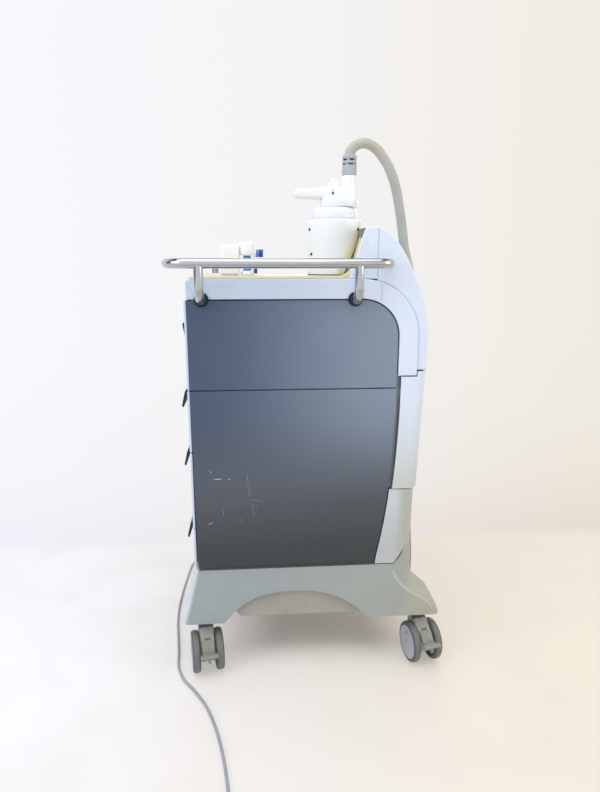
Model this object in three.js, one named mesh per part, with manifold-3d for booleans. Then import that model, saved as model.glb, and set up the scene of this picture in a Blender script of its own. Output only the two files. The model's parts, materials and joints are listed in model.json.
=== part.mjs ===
// Mobile ultrasound treatment cart: a cabinet with four drawers on twin-wheel casters, a handrail,
// a hood with a touch screen, and a treatment head that stands in its dock on a thick hose.
// Millimetres, +Z up. -X is the front, where the drawers open. -Y is the right-hand side.
// The origin is on the floor, under the middle of the cart.
import * as THREE from 'three';
import { mergeVertices } from 'three/addons/utils/BufferGeometryUtils.js';
import Module from 'manifold-3d';

const wasm = await Module();
wasm.setup();

// Fits
const SEAT = 0.3; // between pieces that rest on each other
const RUNNING = 0.6; // round shafts, rockers and buttons
const SHUT_LINE = 2.5; // between neighbouring covers
const WALL = 5; // moulded covers

// Casters
const WHEEL_RADIUS = 50;
const WHEEL_WIDTH = 20;
const WHEEL_FACETS = 20;
const CASTER_HEIGHT = 131;
const CASTER_TRAIL = 27;
const FORK_WIDTH = 36;
const AXLE_RADIUS = 6;
const STEM_RADIUS = 20;
const STEM_DROP = 26;
const GUARD_RADIUS = 36; // of the fork's round back, about the axle
const PEDAL_RADIUS = 43.3; // of the pedal plate's inner face
const CASTER_TURN = 10; // degrees, as the casters were left

// Cabinet, widths and lengths
const HALF_WIDTH = 220;
const PANEL_INSET = 2.5; // the dark side panels lie below the pale band
const PANEL_THICK = 6;
const FRONT_X = -275;
const PANEL_LENGTH = 460;
const PANEL_REAR = FRONT_X + PANEL_LENGTH;
const FRONT_THICK = 5.5; // drawer fronts stand proud of the side panels
const STEM_Y = HALF_WIDTH - 45; // the casters' stems
const FRONT_STEM_X = FRONT_X + 10;
const REAR_STEM_X = PANEL_REAR + 83;

// Cabinet, heights of its storeys
const BASE_HEIGHT = 150;
const LOWER_PANEL_HEIGHT = 421;
const UPPER_PANEL_HEIGHT = 197;
const BAND = 43; // the pale band round the side panels
const PANEL_CORNER = 82; // radius of the panels' upper rear corner
const WORKTOP_THICK = 6;
const HOOD_RISE = 109;

// Hood and screen
const SCREEN_FOOT_X = PANEL_REAR - 112;
const SCREEN_HEAD_X = PANEL_REAR - 79;
const HOOD_SEAM_X = PANEL_REAR - 51;
const HOOD_REAR_X = PANEL_REAR + 65.5;
const HOOD_DROP = 200; // the hood's lower edge below the worktop
const CHEEK = 10;
const SCREEN_WIDTH = HALF_WIDTH - 30;
const SCREEN_HEIGHT = 84;
const SCREEN_Y = HALF_WIDTH - 33 - SCREEN_WIDTH / 2;
const SCREEN_THICK = 9;

// Rear covers
const WING_TOP = 728;
const WING_HEIGHT = 264;
const WING_TOP_REAR_X = PANEL_REAR + 68;
const WING_FOOT_REAR_X = PANEL_REAR + 57;
const WING_GAP = 8;
const SEAM_JOG = 9; // the seam's step from the hood down to the band
const SEAM_WIDTH = 1.4;
const LOWER_REAR_X = PANEL_REAR + 51;
const REAR_SHOULDER = 50; // how far the base rises at its rear

// Chassis
const SHEET = 2.5;
const SHEET_Y = HALF_WIDTH - 14;
const BULKHEAD_X = PANEL_REAR - 60;
const SHEET_REAR_X = PANEL_REAR + 20;
const PAN_FRONT_X = FRONT_X + 114;
const PAN_DROP = 12; // how far the belly pan hangs below the base
const PAN_WALL = 3;
const DECK_Z = CASTER_HEIGHT + 91;
const DECK_THICK = 4;
const DECK_CORNER = 34;

// Drawers: share of the front each takes, from the base up
const DRAWER_HEIGHTS = [95, 184, 142];
const TRAY_WALL = 2;
const TRAY_HALF_WIDTH = HALF_WIDTH - 28;
const TRAY_REAR_GAP = 20;
const TRAY_HEADROOM = 26;
const LEDGE = 14;
const PULL_HALF_WIDTH = HALF_WIDTH - 70;
const PULL_REACH = 21;
const PULL_HEIGHT = 44;
const PULL_THICK = 6;
const TOP_PULL_HEIGHT = 62;
const TOP_PULL_REACH = 19;

// Handrail
const RAIL_RADIUS = 10.3;
const RAIL_RISE = 32.7; // of the rail's centre above the pale band
const RAIL_SIDES = 10;
const RAIL_STANDOFF = 45;
const RAIL_FRONT_X = FRONT_X - 35.7;
const RAIL_CORNER = 45;
const RAIL_END_X = PANEL_REAR - 31;
const RAIL_END_BEND = 28;
const POST_BEND = 26;
const POST_XS = [FRONT_X + 32, PANEL_REAR - 99];
const GROMMET_RADIUS = 14.5;
const GROMMET_PROUD = 4;

// Dock and treatment head
const DOCK_X = PANEL_REAR - 131;
const DOCK_Y = 125 - HALF_WIDTH;
const DOCK_RADIUS = 63;
const DOCK_FOOT_RADIUS = 60;
const DOCK_HEIGHT = 121;
const DOCK_WALL = 5;
const DOCK_FLOOR = 50;
const DOCK_BACK_X = PANEL_REAR - 118; // foot of the cup's leaning back
const DOCK_BACK_SLOPE = 0.49; // run over rise
const HEAD_RADIUS = 51;
const HEAD_WINDOW_RADIUS = 27; // the treating face at the can's foot
const HEAD_SHOULDER = 28; // how far the can stands above the dock's rim
const COLLAR_X = PANEL_REAR - 121;
const COLLAR_RADIUS = 43;
const COLLAR_HEIGHT = 22;
const ARM_TIP_X = PANEL_REAR - 222;
const ARM_THICK = 17;
const ARM_HALF_WIDTH = 19;
const NECK_X = PANEL_REAR - 98;
const NECK_RADIUS = 16.8;
const NECK_HEIGHT = 47;
const BUTTON_X = PANEL_REAR - 134;
const BUTTON_SIZE = 18;
const BUTTON_BOSS = 17;
const BUTTON_PROUD = 7;
const BOOT_RADIUS = 16.4;
const BOOT_HEIGHT = 44;

// Hose and mains cord
const HOSE_DIAMETER = 22.5;
const HOSE_SIDES = 10;
const GLAND_Y = 130;
const GLAND_X = PANEL_REAR + 87;
const GLAND_Z = 680;
const CORD_DIAMETER = 7;
const CORD_SIDES = 8;
const INLET_Y = 65;
const INLET_Z = 385;
const RELIEF_LENGTH = 40;
const COIL_CENTRE = [-140, -668];
const COIL_OUTER = 43; // radius of the outermost turn, at its centre line
const COIL_PITCH = 9.2; // from one turn to the next
const COIL_TURNS = 1.375; // in each of the two layers
const COIL_LAYER = 7.8;
const COIL_STEPS = 24;
const COIL_SIDES = 6;
const PLUG_LENGTH = 46;
const PLUG_RADIUS = 15;

// Inside
const GENERATOR_SIDES = [70 - HALF_WIDTH, 60];
const GENERATOR_DEPTH = 60;
const GENERATOR_HEIGHT = 290;
const GENERATOR_RISE = 273; // above the deck
const FIN_PITCH = 23;
const FIN_GAP = 12;
const FIN_DEPTH = 14;
const SUPPLY_SIDES = [50 - HALF_WIDTH, -20];
const SUPPLY_DEPTH = 48;
const SUPPLY_HEIGHT = 140;
const SUPPLY_RISE = 74; // above the deck
const FAN_SIZE = 92;
const FAN_DEPTH = 25;
const FAN_Y = 95 - HALF_WIDTH;
const FAN_Z = 385;
const FAN_BLADES = 7;
const VENT_SLOTS = 8;
const SWITCH_Y = FAN_Y + 65;
const SWITCH_HALF = [8, 12];

// Heights worked out from the storeys
const BASE_TOP = CASTER_HEIGHT + BASE_HEIGHT;
const SEAM_Z = BASE_TOP + LOWER_PANEL_HEIGHT;
const PANEL_TOP = SEAM_Z + UPPER_PANEL_HEIGHT;
const BAND_TOP = PANEL_TOP + BAND;
const WORKTOP_Z = BAND_TOP + SEAT + WORKTOP_THICK;
const RAIL_Z = BAND_TOP + RAIL_RISE;
const HOOD_TOP = BAND_TOP + HOOD_RISE;
const HOOD_FOOT = BAND_TOP - HOOD_DROP;
const CORNER_X = FRONT_X + PANEL_LENGTH - PANEL_CORNER;
const CORNER_Z = PANEL_TOP - PANEL_CORNER;
const BAND_RADIUS = PANEL_CORNER + BAND;
const PANEL_Y = HALF_WIDTH - PANEL_INSET;
const AXLE_Z = WHEEL_RADIUS * Math.cos(Math.PI / WHEEL_FACETS);
const FRONT_FACE_X = FRONT_X - FRONT_THICK - SEAT;
const DOCK_RIM = WORKTOP_Z + SEAT + DOCK_HEIGHT;
const HEAD_TOP = DOCK_RIM + HEAD_SHOULDER;
const COLLAR_TOP = HEAD_TOP + SEAT + COLLAR_HEIGHT;
const NECK_TOP = COLLAR_TOP + NECK_HEIGHT;
const BOOT_TOP = NECK_TOP + SEAT + BOOT_HEIGHT;
const RELIEF_X = LOWER_REAR_X + SEAT;
const FAR = 400; // reach of the cutting shapes, past everything

// Solid helpers
function solid(geometry) {
  const bare = geometry.clone();
  bare.deleteAttribute('normal');
  bare.deleteAttribute('uv');
  const merged = mergeVertices(bare, 1e-4);
  const triVerts = Uint32Array.from(merged.index.array);
  const vertProperties = Float32Array.from(merged.attributes.position.array);
  return new wasm.Manifold(new wasm.Mesh({ numProp: 3, vertProperties, triVerts }));
}

function geometryOf(shape) {
  const mesh = shape.getMesh();
  const geometry = new THREE.BufferGeometry();
  geometry.setAttribute('position', new THREE.BufferAttribute(mesh.vertProperties, 3));
  geometry.setIndex(new THREE.BufferAttribute(mesh.triVerts, 1));
  geometry.computeVertexNormals();
  return geometry;
}

function joined(shapes) {
  return shapes.reduce((sum, shape) => sum.add(shape));
}

function block(x0, x1, y0, y1, z0, z1) {
  const geometry = new THREE.BoxGeometry(x1 - x0, y1 - y0, z1 - z0);
  geometry.translate((x0 + x1) / 2, (y0 + y1) / 2, (z0 + z1) / 2);
  return solid(geometry);
}

// A round bar along 'x', 'y' or 'z', from one end to the other
function bar(axis, radius, from, to, centre, sides = 24) {
  const geometry = new THREE.CylinderGeometry(radius, radius, to - from, sides);
  geometry.translate(0, (from + to) / 2, 0);
  if (axis === 'x') geometry.rotateZ(-Math.PI / 2);
  if (axis === 'z') geometry.rotateX(Math.PI / 2);
  geometry.translate(...centre);
  return solid(geometry);
}

// A side view, drawn in X and Z, made as wide as asked in Y, with softened edges
function sideForm(shape, y0, y1, edge = 0, curveSegments = 8) {
  const options = { depth: y1 - y0 - 2 * edge, curveSegments, bevelEnabled: edge > 0 };
  Object.assign(options, { bevelThickness: edge, bevelSize: edge, bevelOffset: -edge, bevelSegments: 1 });
  const geometry = new THREE.ExtrudeGeometry(shape, options);
  geometry.rotateX(Math.PI / 2);
  geometry.translate(0, y1 - edge, 0);
  return solid(geometry);
}

// A plan view, drawn in X and Y, made as tall as asked in Z
function planForm(shape, z0, z1, curveSegments = 6) {
  const geometry = new THREE.ExtrudeGeometry(shape, { depth: z1 - z0, curveSegments, bevelEnabled: false });
  geometry.translate(0, 0, z0);
  return solid(geometry);
}

// A front view, drawn in Y and Z, made as deep as asked in X
function frontForm(shape, x0, x1, edge = 0, curveSegments = 6) {
  const options = { depth: x1 - x0 - 2 * edge, curveSegments, bevelEnabled: edge > 0 };
  Object.assign(options, { bevelThickness: edge, bevelSize: edge, bevelOffset: -edge, bevelSegments: 1 });
  const geometry = new THREE.ExtrudeGeometry(shape, options);
  geometry.rotateX(Math.PI / 2);
  geometry.rotateZ(Math.PI / 2);
  geometry.translate(x0 + edge, 0, 0);
  return solid(geometry);
}

function outline(points) {
  return new THREE.Shape(points.map(([u, v]) => new THREE.Vector2(u, v)));
}

function roundedBox(u0, u1, v0, v1, radius) {
  const shape = new THREE.Shape();
  shape.moveTo(u0 + radius, v0);
  shape.lineTo(u1 - radius, v0);
  shape.absarc(u1 - radius, v0 + radius, radius, -Math.PI / 2, 0, false);
  shape.lineTo(u1, v1 - radius);
  shape.absarc(u1 - radius, v1 - radius, radius, 0, Math.PI / 2, false);
  shape.lineTo(u0 + radius, v1);
  shape.absarc(u0 + radius, v1 - radius, radius, Math.PI / 2, Math.PI, false);
  shape.lineTo(u0, v0 + radius);
  shape.absarc(u0 + radius, v0 + radius, radius, Math.PI, 1.5 * Math.PI, false);
  return shape;
}

// A turned form round a vertical axis, its profile given as [radius, height]
function turned(profile, x, y, sides = 32) {
  const points = profile.map(([r, z]) => new THREE.Vector2(r, z));
  const geometry = new THREE.LatheGeometry(points, sides);
  geometry.rotateX(Math.PI / 2);
  geometry.translate(x, y, 0);
  return solid(geometry);
}

// A loft through level sections, each a rectangle with its own corner radii
function loft(levels, cornerSteps = 3) {
  const rings = levels.map(({ z, front, rear, half, frontRound, rearRound }) => {
    const ring = [];
    const corners = [
      [rear - rearRound, half - rearRound, rearRound, 0],
      [front + frontRound, half - frontRound, frontRound, 1],
      [front + frontRound, -half + frontRound, frontRound, 2],
      [rear - rearRound, -half + rearRound, rearRound, 3],
    ];
    for (const [x, y, r, quarter] of corners) {
      for (let step = 0; step <= cornerSteps; step += 1) {
        const angle = (quarter + step / cornerSteps) * Math.PI / 2;
        ring.push([x + r * Math.cos(angle), y + r * Math.sin(angle), z]);
      }
    }
    return ring;
  });
  const count = rings[0].length;
  const positions = rings.flat(2);
  const index = [];
  for (let level = 0; level + 1 < rings.length; level += 1) {
    for (let i = 0; i < count; i += 1) {
      const a = level * count + i;
      const b = level * count + (i + 1) % count;
      index.push(a, b, b + count, a, b + count, a + count);
    }
  }
  const top = (rings.length - 1) * count;
  for (let i = 1; i + 1 < count; i += 1) {
    index.push(0, i + 1, i);
    index.push(top, top + i, top + i + 1);
  }
  const geometry = new THREE.BufferGeometry();
  geometry.setAttribute('position', new THREE.Float32BufferAttribute(positions, 3));
  geometry.setIndex(index);
  return solid(geometry);
}

// A path that steps from one listed point to the next, whatever their distance
class Route extends THREE.Curve {
  constructor(points) {
    super();
    this.points = points;
  }

  getPoint(t) {
    const place = t * (this.points.length - 1);
    const i = Math.min(Math.floor(place), this.points.length - 2);
    return this.points[i].clone().lerp(this.points[i + 1], place - i);
  }

  getPointAt(t) {
    return this.getPoint(t);
  }

  getTangentAt(t) {
    const last = this.points.length - 1;
    const i = Math.round(t * last);
    const before = this.points[Math.max(i - 1, 0)];
    const after = this.points[Math.min(i + 1, last)];
    const here = this.points[i];
    const tangent = new THREE.Vector3();
    if (i > 0) tangent.add(here.clone().sub(before).normalize());
    if (i < last) tangent.add(after.clone().sub(here).normalize());
    return tangent.normalize();
  }
}

function tube(points, radius, sides) {
  const section = new THREE.Shape();
  for (let i = 0; i < sides; i += 1) {
    const angle = (i + 0.5) / sides * 2 * Math.PI;
    const corner = [radius * Math.cos(angle), radius * Math.sin(angle)];
    if (i === 0) section.moveTo(...corner);
    else section.lineTo(...corner);
  }
  section.closePath();
  const options = { steps: points.length - 1, extrudePath: new Route(points), bevelEnabled: false };
  return new THREE.ExtrudeGeometry(section, options);
}

// A smooth curve through points chosen by hand, stepped evenly between its two straight ends
function smoothRoute(points, step) {
  const chosen = points.map((p) => new THREE.Vector3(...p));
  const curve = new THREE.CatmullRomCurve3(chosen.slice(1, -1), false, 'centripetal');
  curve.arcLengthDivisions = 1000;
  const spaced = curve.getSpacedPoints(Math.round(curve.getLength() / step));
  return [chosen[0], ...spaced, chosen[chosen.length - 1]];
}

// A bent bar: straight runs between corners, each corner an arc
function bentRoute(corners, radii, steps = 4) {
  const points = [corners[0].clone()];
  for (let i = 1; i + 1 < corners.length; i += 1) {
    const into = corners[i].clone().sub(corners[i - 1]).normalize();
    const out = corners[i + 1].clone().sub(corners[i]).normalize();
    const turn = Math.acos(THREE.MathUtils.clamp(into.dot(out), -1, 1));
    const setback = radii[i - 1] * Math.tan(turn / 2);
    const start = corners[i].clone().addScaledVector(into, -setback);
    const side = out.clone().addScaledVector(into, -into.dot(out)).normalize();
    for (let step = 0; step <= steps; step += 1) {
      const angle = turn * step / steps;
      const point = start.clone().addScaledVector(into, radii[i - 1] * Math.sin(angle));
      points.push(point.addScaledVector(side, radii[i - 1] * (1 - Math.cos(angle))));
    }
  }
  points.push(corners[corners.length - 1].clone());
  return points;
}

// Nodes and materials
const group = new THREE.Group();

function material(colour, roughness, metalness = 0) {
  return new THREE.MeshStandardMaterial({ color: colour, roughness, metalness });
}

const slate = material(0x55606e, 0.45);
const paleBlue = material(0xd6dee6, 0.5);
const sage = material(0xa5aca4, 0.55);
const cream = material(0xe9e2cc, 0.5);
const white = material(0xf2f3f4, 0.4);
const black = material(0x1b1c1e, 0.5);
const steel = material(0xc9cbcc, 0.25, 1);
const greyPlastic = material(0x9ea6aa, 0.5);
const hoseGrey = material(0xaaaa9b, 0.55);
const tyreGrey = material(0x7d7f7e, 0.7);
const darkGlass = material(0x15181c, 0.1);
const sheetMetal = material(0x8b8f92, 0.4, 0.8);

function node(name, shape, finish, parent = group) {
  const geometry = shape.isBufferGeometry ? shape : geometryOf(shape);
  const mesh = new THREE.Mesh(geometry, finish);
  mesh.name = name;
  parent.add(mesh);
  return mesh;
}

// The side panels' rear edge, which the rear covers follow at their own gap
const REAR_EDGE_FOOT_X = PANEL_REAR - 42;

function rearEdge(shape, gap, topZ) {
  const middle = [PANEL_REAR - 2 + gap, (SEAM_Z + BASE_TOP) / 2 - 42];
  shape.quadraticCurveTo(...middle, PANEL_REAR + gap, topZ);
}

// Plan form of the deck and of the room in the skirt that it sits in, round at the rear corners
const deckFoot = DECK_Z + 2 * SEAT;

function deckForm(gap, half, foot, top) {
  const front = FRONT_X + 7 + SEAT - gap;
  const rear = LOWER_REAR_X - 10 - SEAT + gap;
  const plan = new THREE.Shape();
  plan.moveTo(front, -half);
  plan.lineTo(rear - DECK_CORNER, -half);
  plan.absarc(rear - DECK_CORNER, DECK_CORNER - half, DECK_CORNER, -Math.PI / 2, 0, false);
  plan.absarc(rear - DECK_CORNER, half - DECK_CORNER, DECK_CORNER, 0, Math.PI / 2, false);
  plan.lineTo(front, half);
  return planForm(plan, foot, top, 4);
}

// Base skirt: flared front and rear, four feet, an arch in each side, open inside
function baseSkirt() {
  const level = (z, front, rear, rearRound) => {
    return { z: CASTER_HEIGHT + z, front: FRONT_X + front, rear: LOWER_REAR_X + rear, half: HALF_WIDTH,
      frontRound: 14, rearRound };
  };
  const outer = loft([
    level(0, -38, 64, 8),
    level(5, -40, 67, 8),
    level(26, -36, 66, 10),
    level(45, -30, 57, 26),
    level(62, -24, 45, 38),
    level(76, -20, 24, 44),
    level(90, -15, 7, 45),
    level(112, -10, 0, 44),
    level(BASE_HEIGHT, -4, 0, 44),
    level(BASE_HEIGHT + REAR_SHOULDER, -4, 0, 44),
  ]);
  const crest = CASTER_HEIGHT + 80;
  const arch = new THREE.Shape();
  arch.moveTo(FRONT_X + 59, 0);
  arch.lineTo(FRONT_X + 59, CASTER_HEIGHT);
  arch.lineTo(FRONT_X + 83, CASTER_HEIGHT + 27);
  arch.bezierCurveTo(FRONT_X + 125, crest - 6, FRONT_X + 180, crest, FRONT_X + 240, crest);
  arch.bezierCurveTo(FRONT_X + 305, crest, FRONT_X + 370, crest - 31, FRONT_X + 404, CASTER_HEIGHT);
  arch.lineTo(FRONT_X + 404, 0);
  const shoulder = outline([
    [-FAR, BASE_TOP],
    [LOWER_REAR_X - 44, BASE_TOP],
    [LOWER_REAR_X - 19, BASE_TOP + 33],
    [LOWER_REAR_X + 10, BASE_TOP + REAR_SHOULDER + 3],
    [LOWER_REAR_X + 10, BASE_TOP + FAR],
    [-FAR, BASE_TOP + FAR],
  ]);
  const inside = HALF_WIDTH - 9;
  const legWell = block(FRONT_X + 7, LOWER_REAR_X - 10, -inside, inside, 0, deckFoot + 1 + SEAT);
  const deckWell = deckForm(SEAT, inside, 0, BASE_TOP + FAR);
  const feetWell = block(FRONT_X - 25, LOWER_REAR_X + 55, -inside, inside, 0, CASTER_HEIGHT + 34);
  return outer
    .subtract(sideForm(arch, -FAR, FAR))
    .subtract(sideForm(shoulder, -FAR, FAR))
    .subtract(legWell)
    .subtract(deckWell)
    .subtract(feetWell);
}

// Belly pan: an open tray hung under the deck, seen below the arch
function bellyPan() {
  const half = HALF_WIDTH - 15;
  const foot = CASTER_HEIGHT - PAN_DROP;
  const top = DECK_Z + SEAT;
  const tray = sideForm(roundedBox(PAN_FRONT_X, PANEL_REAR, foot, top, 5), -half, half, 3, 2);
  const hollow = block(PAN_FRONT_X + PAN_WALL, PANEL_REAR - PAN_WALL, -half + PAN_WALL, half - PAN_WALL,
    foot + PAN_WALL, top + 1);
  return tray.subtract(hollow);
}

// Chassis: deck, four caster legs, side sheets with drawer ledges, bulkhead and top plate
const deckTop = deckFoot + DECK_THICK;
const GENERATOR_FOOT_Z = deckTop + GENERATOR_RISE;
const chassisTop = PANEL_TOP - 6;

function drawerLevels() {
  const levels = [];
  let foot = BASE_TOP;
  for (const height of DRAWER_HEIGHTS) {
    levels.push([foot, foot + height]);
    foot += height;
  }
  levels.push([SEAM_Z, PANEL_TOP]);
  return levels;
}

function chassis() {
  const wellFront = FRONT_X + 7 + SEAT;
  const wellRear = LOWER_REAR_X - 10 - SEAT;
  const pieces = [deckForm(0, SHEET_Y, deckFoot, deckTop)];
  const legY = HALF_WIDTH - 9 - SEAT;
  const legFoot = CASTER_HEIGHT + SEAT;
  for (const side of [-1, 1]) {
    const [y0, y1] = side < 0 ? [-legY, -legY + 62] : [legY - 62, legY];
    pieces.push(block(FRONT_STEM_X - 28, FRONT_STEM_X + 30, y0, y1, legFoot, legFoot + 28));
    pieces.push(block(wellFront, FRONT_STEM_X + 30, y0, y1, legFoot, deckFoot + 1));
    pieces.push(block(wellRear - 30, REAR_STEM_X + 20, y0, y1, legFoot, legFoot + 28));
    pieces.push(block(wellRear - 30, wellRear, y0, y1, legFoot, deckFoot + 1));
    const sheet = outline([
      [wellFront, deckFoot + 1],
      [SHEET_REAR_X, deckFoot + 1],
      [SHEET_REAR_X, CORNER_Z - 20],
      [CORNER_X + 20, chassisTop],
      [wellFront, chassisTop],
    ]);
    const inner = SHEET_Y - SHEET;
    pieces.push(side < 0 ? sideForm(sheet, -SHEET_Y, -inner) : sideForm(sheet, inner, SHEET_Y));
    for (const [foot] of drawerLevels()) {
      const ledgeTop = foot + 10;
      const ledge = side < 0 ? [-SHEET_Y + 1, -inner + LEDGE] : [inner - LEDGE, SHEET_Y - 1];
      pieces.push(block(wellFront, BULKHEAD_X + 1, ...ledge, ledgeTop - 4, ledgeTop));
    }
  }
  pieces.push(block(BULKHEAD_X, BULKHEAD_X + SHEET, -SHEET_Y + 1, SHEET_Y - 1, deckTop - 1, chassisTop));
  pieces.push(block(wellFront, BULKHEAD_X + 1, -SHEET_Y + 1, SHEET_Y - 1, chassisTop - 3, chassisTop));
  return joined(pieces);
}

// Side panels: an upper one with the round corner, a lower one whose rear edge tapers
function grommetHoles(radius) {
  return POST_XS.flatMap((x) => [
    bar('y', radius, PANEL_Y - 40, HALF_WIDTH + 40, [x, 0, PANEL_TOP + 1], 20),
    bar('y', radius, -HALF_WIDTH - 40, -PANEL_Y + 40, [x, 0, PANEL_TOP + 1], 20),
  ]);
}

function panelBosses(side, xs, zs) {
  const inner = PANEL_Y - PANEL_THICK;
  const bosses = [];
  for (const x of xs) {
    for (const z of zs) {
      const [y0, y1] = side < 0 ? [-inner - 1, -SHEET_Y - SEAT] : [SHEET_Y + SEAT, inner + 1];
      bosses.push(block(x - 9, x + 9, y0, y1, z - 9, z + 9));
    }
  }
  return bosses;
}

function upperPanel(side) {
  const shape = new THREE.Shape();
  const foot = SEAM_Z + SHUT_LINE / 2;
  const top = PANEL_TOP - SHUT_LINE / 2;
  const corner = PANEL_CORNER - SHUT_LINE / 2;
  shape.moveTo(FRONT_X, foot);
  shape.lineTo(PANEL_REAR - SHUT_LINE / 2, foot);
  shape.lineTo(PANEL_REAR - SHUT_LINE / 2, CORNER_Z);
  shape.absarc(CORNER_X, CORNER_Z, corner, 0, Math.PI / 2, false);
  shape.lineTo(FRONT_X, top);
  const inner = PANEL_Y - PANEL_THICK;
  const plate = side < 0 ? sideForm(shape, -PANEL_Y, -inner, 1.2, 10) : sideForm(shape, inner, PANEL_Y, 1.2, 10);
  const bosses = panelBosses(side, [FRONT_X + 55, CORNER_X - 10], [SEAM_Z + 40, PANEL_TOP - 60]);
  let panel = joined([plate, ...bosses]);
  for (const hole of grommetHoles(GROMMET_RADIUS + SEAT)) panel = panel.subtract(hole);
  return panel;
}

function lowerPanel(side) {
  const shape = new THREE.Shape();
  const foot = BASE_TOP + SEAT;
  const round = 8;
  shape.moveTo(FRONT_X + 3 + round, foot);
  shape.lineTo(REAR_EDGE_FOOT_X, foot);
  const top = SEAM_Z - SHUT_LINE / 2;
  rearEdge(shape, 0, top);
  shape.lineTo(FRONT_X, top);
  shape.lineTo(FRONT_X + 3, foot + round);
  shape.quadraticCurveTo(FRONT_X + 3, foot, FRONT_X + 3 + round, foot);
  const inner = PANEL_Y - PANEL_THICK;
  const plate = side < 0 ? sideForm(shape, -PANEL_Y, -inner, 1.2, 10) : sideForm(shape, inner, PANEL_Y, 1.2, 10);
  const bosses = panelBosses(side, [FRONT_X + 55, CORNER_X - 10], [BASE_TOP + 50, SEAM_Z - 60]);
  return joined([plate, ...bosses]);
}

// Upper shell: the pale band round the side panels, with the roof under the worktop
function bandOuter(inset) {
  const shape = new THREE.Shape();
  const radius = BAND_RADIUS - inset;
  const front = FRONT_X + inset;
  const top = BAND_TOP - inset;
  const nose = 12;
  shape.moveTo(front, PANEL_TOP + SHUT_LINE / 2);
  shape.lineTo(front, top - nose);
  shape.quadraticCurveTo(front, top, front + nose, top);
  shape.lineTo(CORNER_X, top);
  shape.absarc(CORNER_X, CORNER_Z, radius, Math.PI / 2, 0, true);
  return shape;
}

// The seam of the hood goes on down the band after a short jog
function shellSeam(side) {
  const front = HOOD_SEAM_X - SEAM_WIDTH / 2;
  const rear = HOOD_SEAM_X + SEAM_WIDTH / 2;
  const jogFoot = BAND_TOP - 15;
  const line = outline([
    [front, BAND_TOP + 1],
    [rear, BAND_TOP + 1],
    [rear + SEAM_JOG, jogFoot],
    [rear + SEAM_JOG, CORNER_Z],
    [front + SEAM_JOG, CORNER_Z],
    [front + SEAM_JOG, jogFoot],
  ]);
  const depth = 1.5;
  return side < 0 ? sideForm(line, -FAR, -HALF_WIDTH + depth) : sideForm(line, HALF_WIDTH - depth, FAR);
}

function upperShell() {
  const foot = WING_TOP + SHUT_LINE;
  const shape = bandOuter(0);
  shape.lineTo(CORNER_X + BAND_RADIUS, foot);
  shape.lineTo(PANEL_REAR + SHUT_LINE / 2, foot);
  shape.lineTo(PANEL_REAR + SHUT_LINE / 2, CORNER_Z);
  shape.absarc(CORNER_X, CORNER_Z, PANEL_CORNER + SHUT_LINE / 2, 0, Math.PI / 2, false);
  const outer = sideForm(shape, -HALF_WIDTH, HALF_WIDTH, 1.5, 10);
  const room = bandOuter(WALL);
  room.lineTo(CORNER_X + BAND_RADIUS - WALL, 0);
  room.lineTo(FRONT_X + WALL, 0);
  const side = 8;
  const hollow = sideForm(room, -HALF_WIDTH + side, HALF_WIDTH - side, 0, 10);
  const posts = [];
  for (const x of [FRONT_X + 60, CORNER_X - 30]) {
    for (const y of [-150, 150]) {
      posts.push(block(x - 12, x + 12, y - 12, y + 12, chassisTop + SEAT, BAND_TOP - WALL + 1));
    }
  }
  let shell = joined([outer.subtract(hollow), ...posts]);
  const grommet = (x, y0, y1) => bar('y', GROMMET_RADIUS, y0, y1, [x, 0, PANEL_TOP + 1], 20);
  for (const x of POST_XS) {
    shell = shell.add(grommet(x, -HALF_WIDTH - GROMMET_PROUD, -HALF_WIDTH + side));
    shell = shell.add(grommet(x, HALF_WIDTH - side, HALF_WIDTH + GROMMET_PROUD));
  }
  for (const hole of grommetHoles(RAIL_RADIUS + SEAT)) shell = shell.subtract(hole);
  return shell.subtract(shellSeam(-1)).subtract(shellSeam(1));
}

// The line of the hood's face, which leans back
function faceX(z, back = 0) {
  const rise = (z - BAND_TOP) / HOOD_RISE;
  return SCREEN_FOOT_X + (SCREEN_HEAD_X - SCREEN_FOOT_X) * rise + back;
}

function hoodRear(shape, inset) {
  const top = HOOD_TOP - inset;
  const rear = HOOD_REAR_X - inset;
  shape.bezierCurveTo(HOOD_SEAM_X + 44, top, rear, BAND_TOP - 37, rear, BAND_TOP - 120);
}

// Everything behind the dock cup's leaning back, which keeps clear of the hood's face
function behindDock(gap) {
  const rise = HOOD_TOP + 40 - WORKTOP_Z;
  return sideForm(outline([
    [DOCK_BACK_X + gap - DOCK_BACK_SLOPE * FAR, WORKTOP_Z - FAR],
    [DOCK_BACK_X + gap + DOCK_BACK_SLOPE * rise, WORKTOP_Z + rise],
    [2 * FAR, WORKTOP_Z + rise],
    [2 * FAR, WORKTOP_Z - FAR],
  ]), -FAR, FAR);
}

function dockNiche(gap) {
  return bar('z', DOCK_RADIUS + gap, WORKTOP_Z, HOOD_TOP + 30, [DOCK_X, DOCK_Y, 0], 40).subtract(behindDock(gap));
}

// Display housing: two cheeks and a roof in front of the seam, open to the front and rear
function displayHousing() {
  const foot = BAND_TOP + SEAT;
  const shape = new THREE.Shape();
  shape.moveTo(faceX(foot), foot);
  shape.lineTo(HOOD_SEAM_X, foot);
  shape.lineTo(HOOD_SEAM_X, HOOD_TOP);
  shape.lineTo(SCREEN_HEAD_X + 12, HOOD_TOP);
  shape.quadraticCurveTo(SCREEN_HEAD_X + 2, HOOD_TOP, faceX(HOOD_TOP - 9), HOOD_TOP - 9);
  const half = HALF_WIDTH - 4;
  const outer = sideForm(shape, -half, half, 2, 6);
  const inner = block(0, HOOD_SEAM_X + 10, -half + CHEEK, half - CHEEK, 0, HOOD_TOP - WALL);
  return outer.subtract(inner).subtract(dockNiche(1.5));
}

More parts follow.
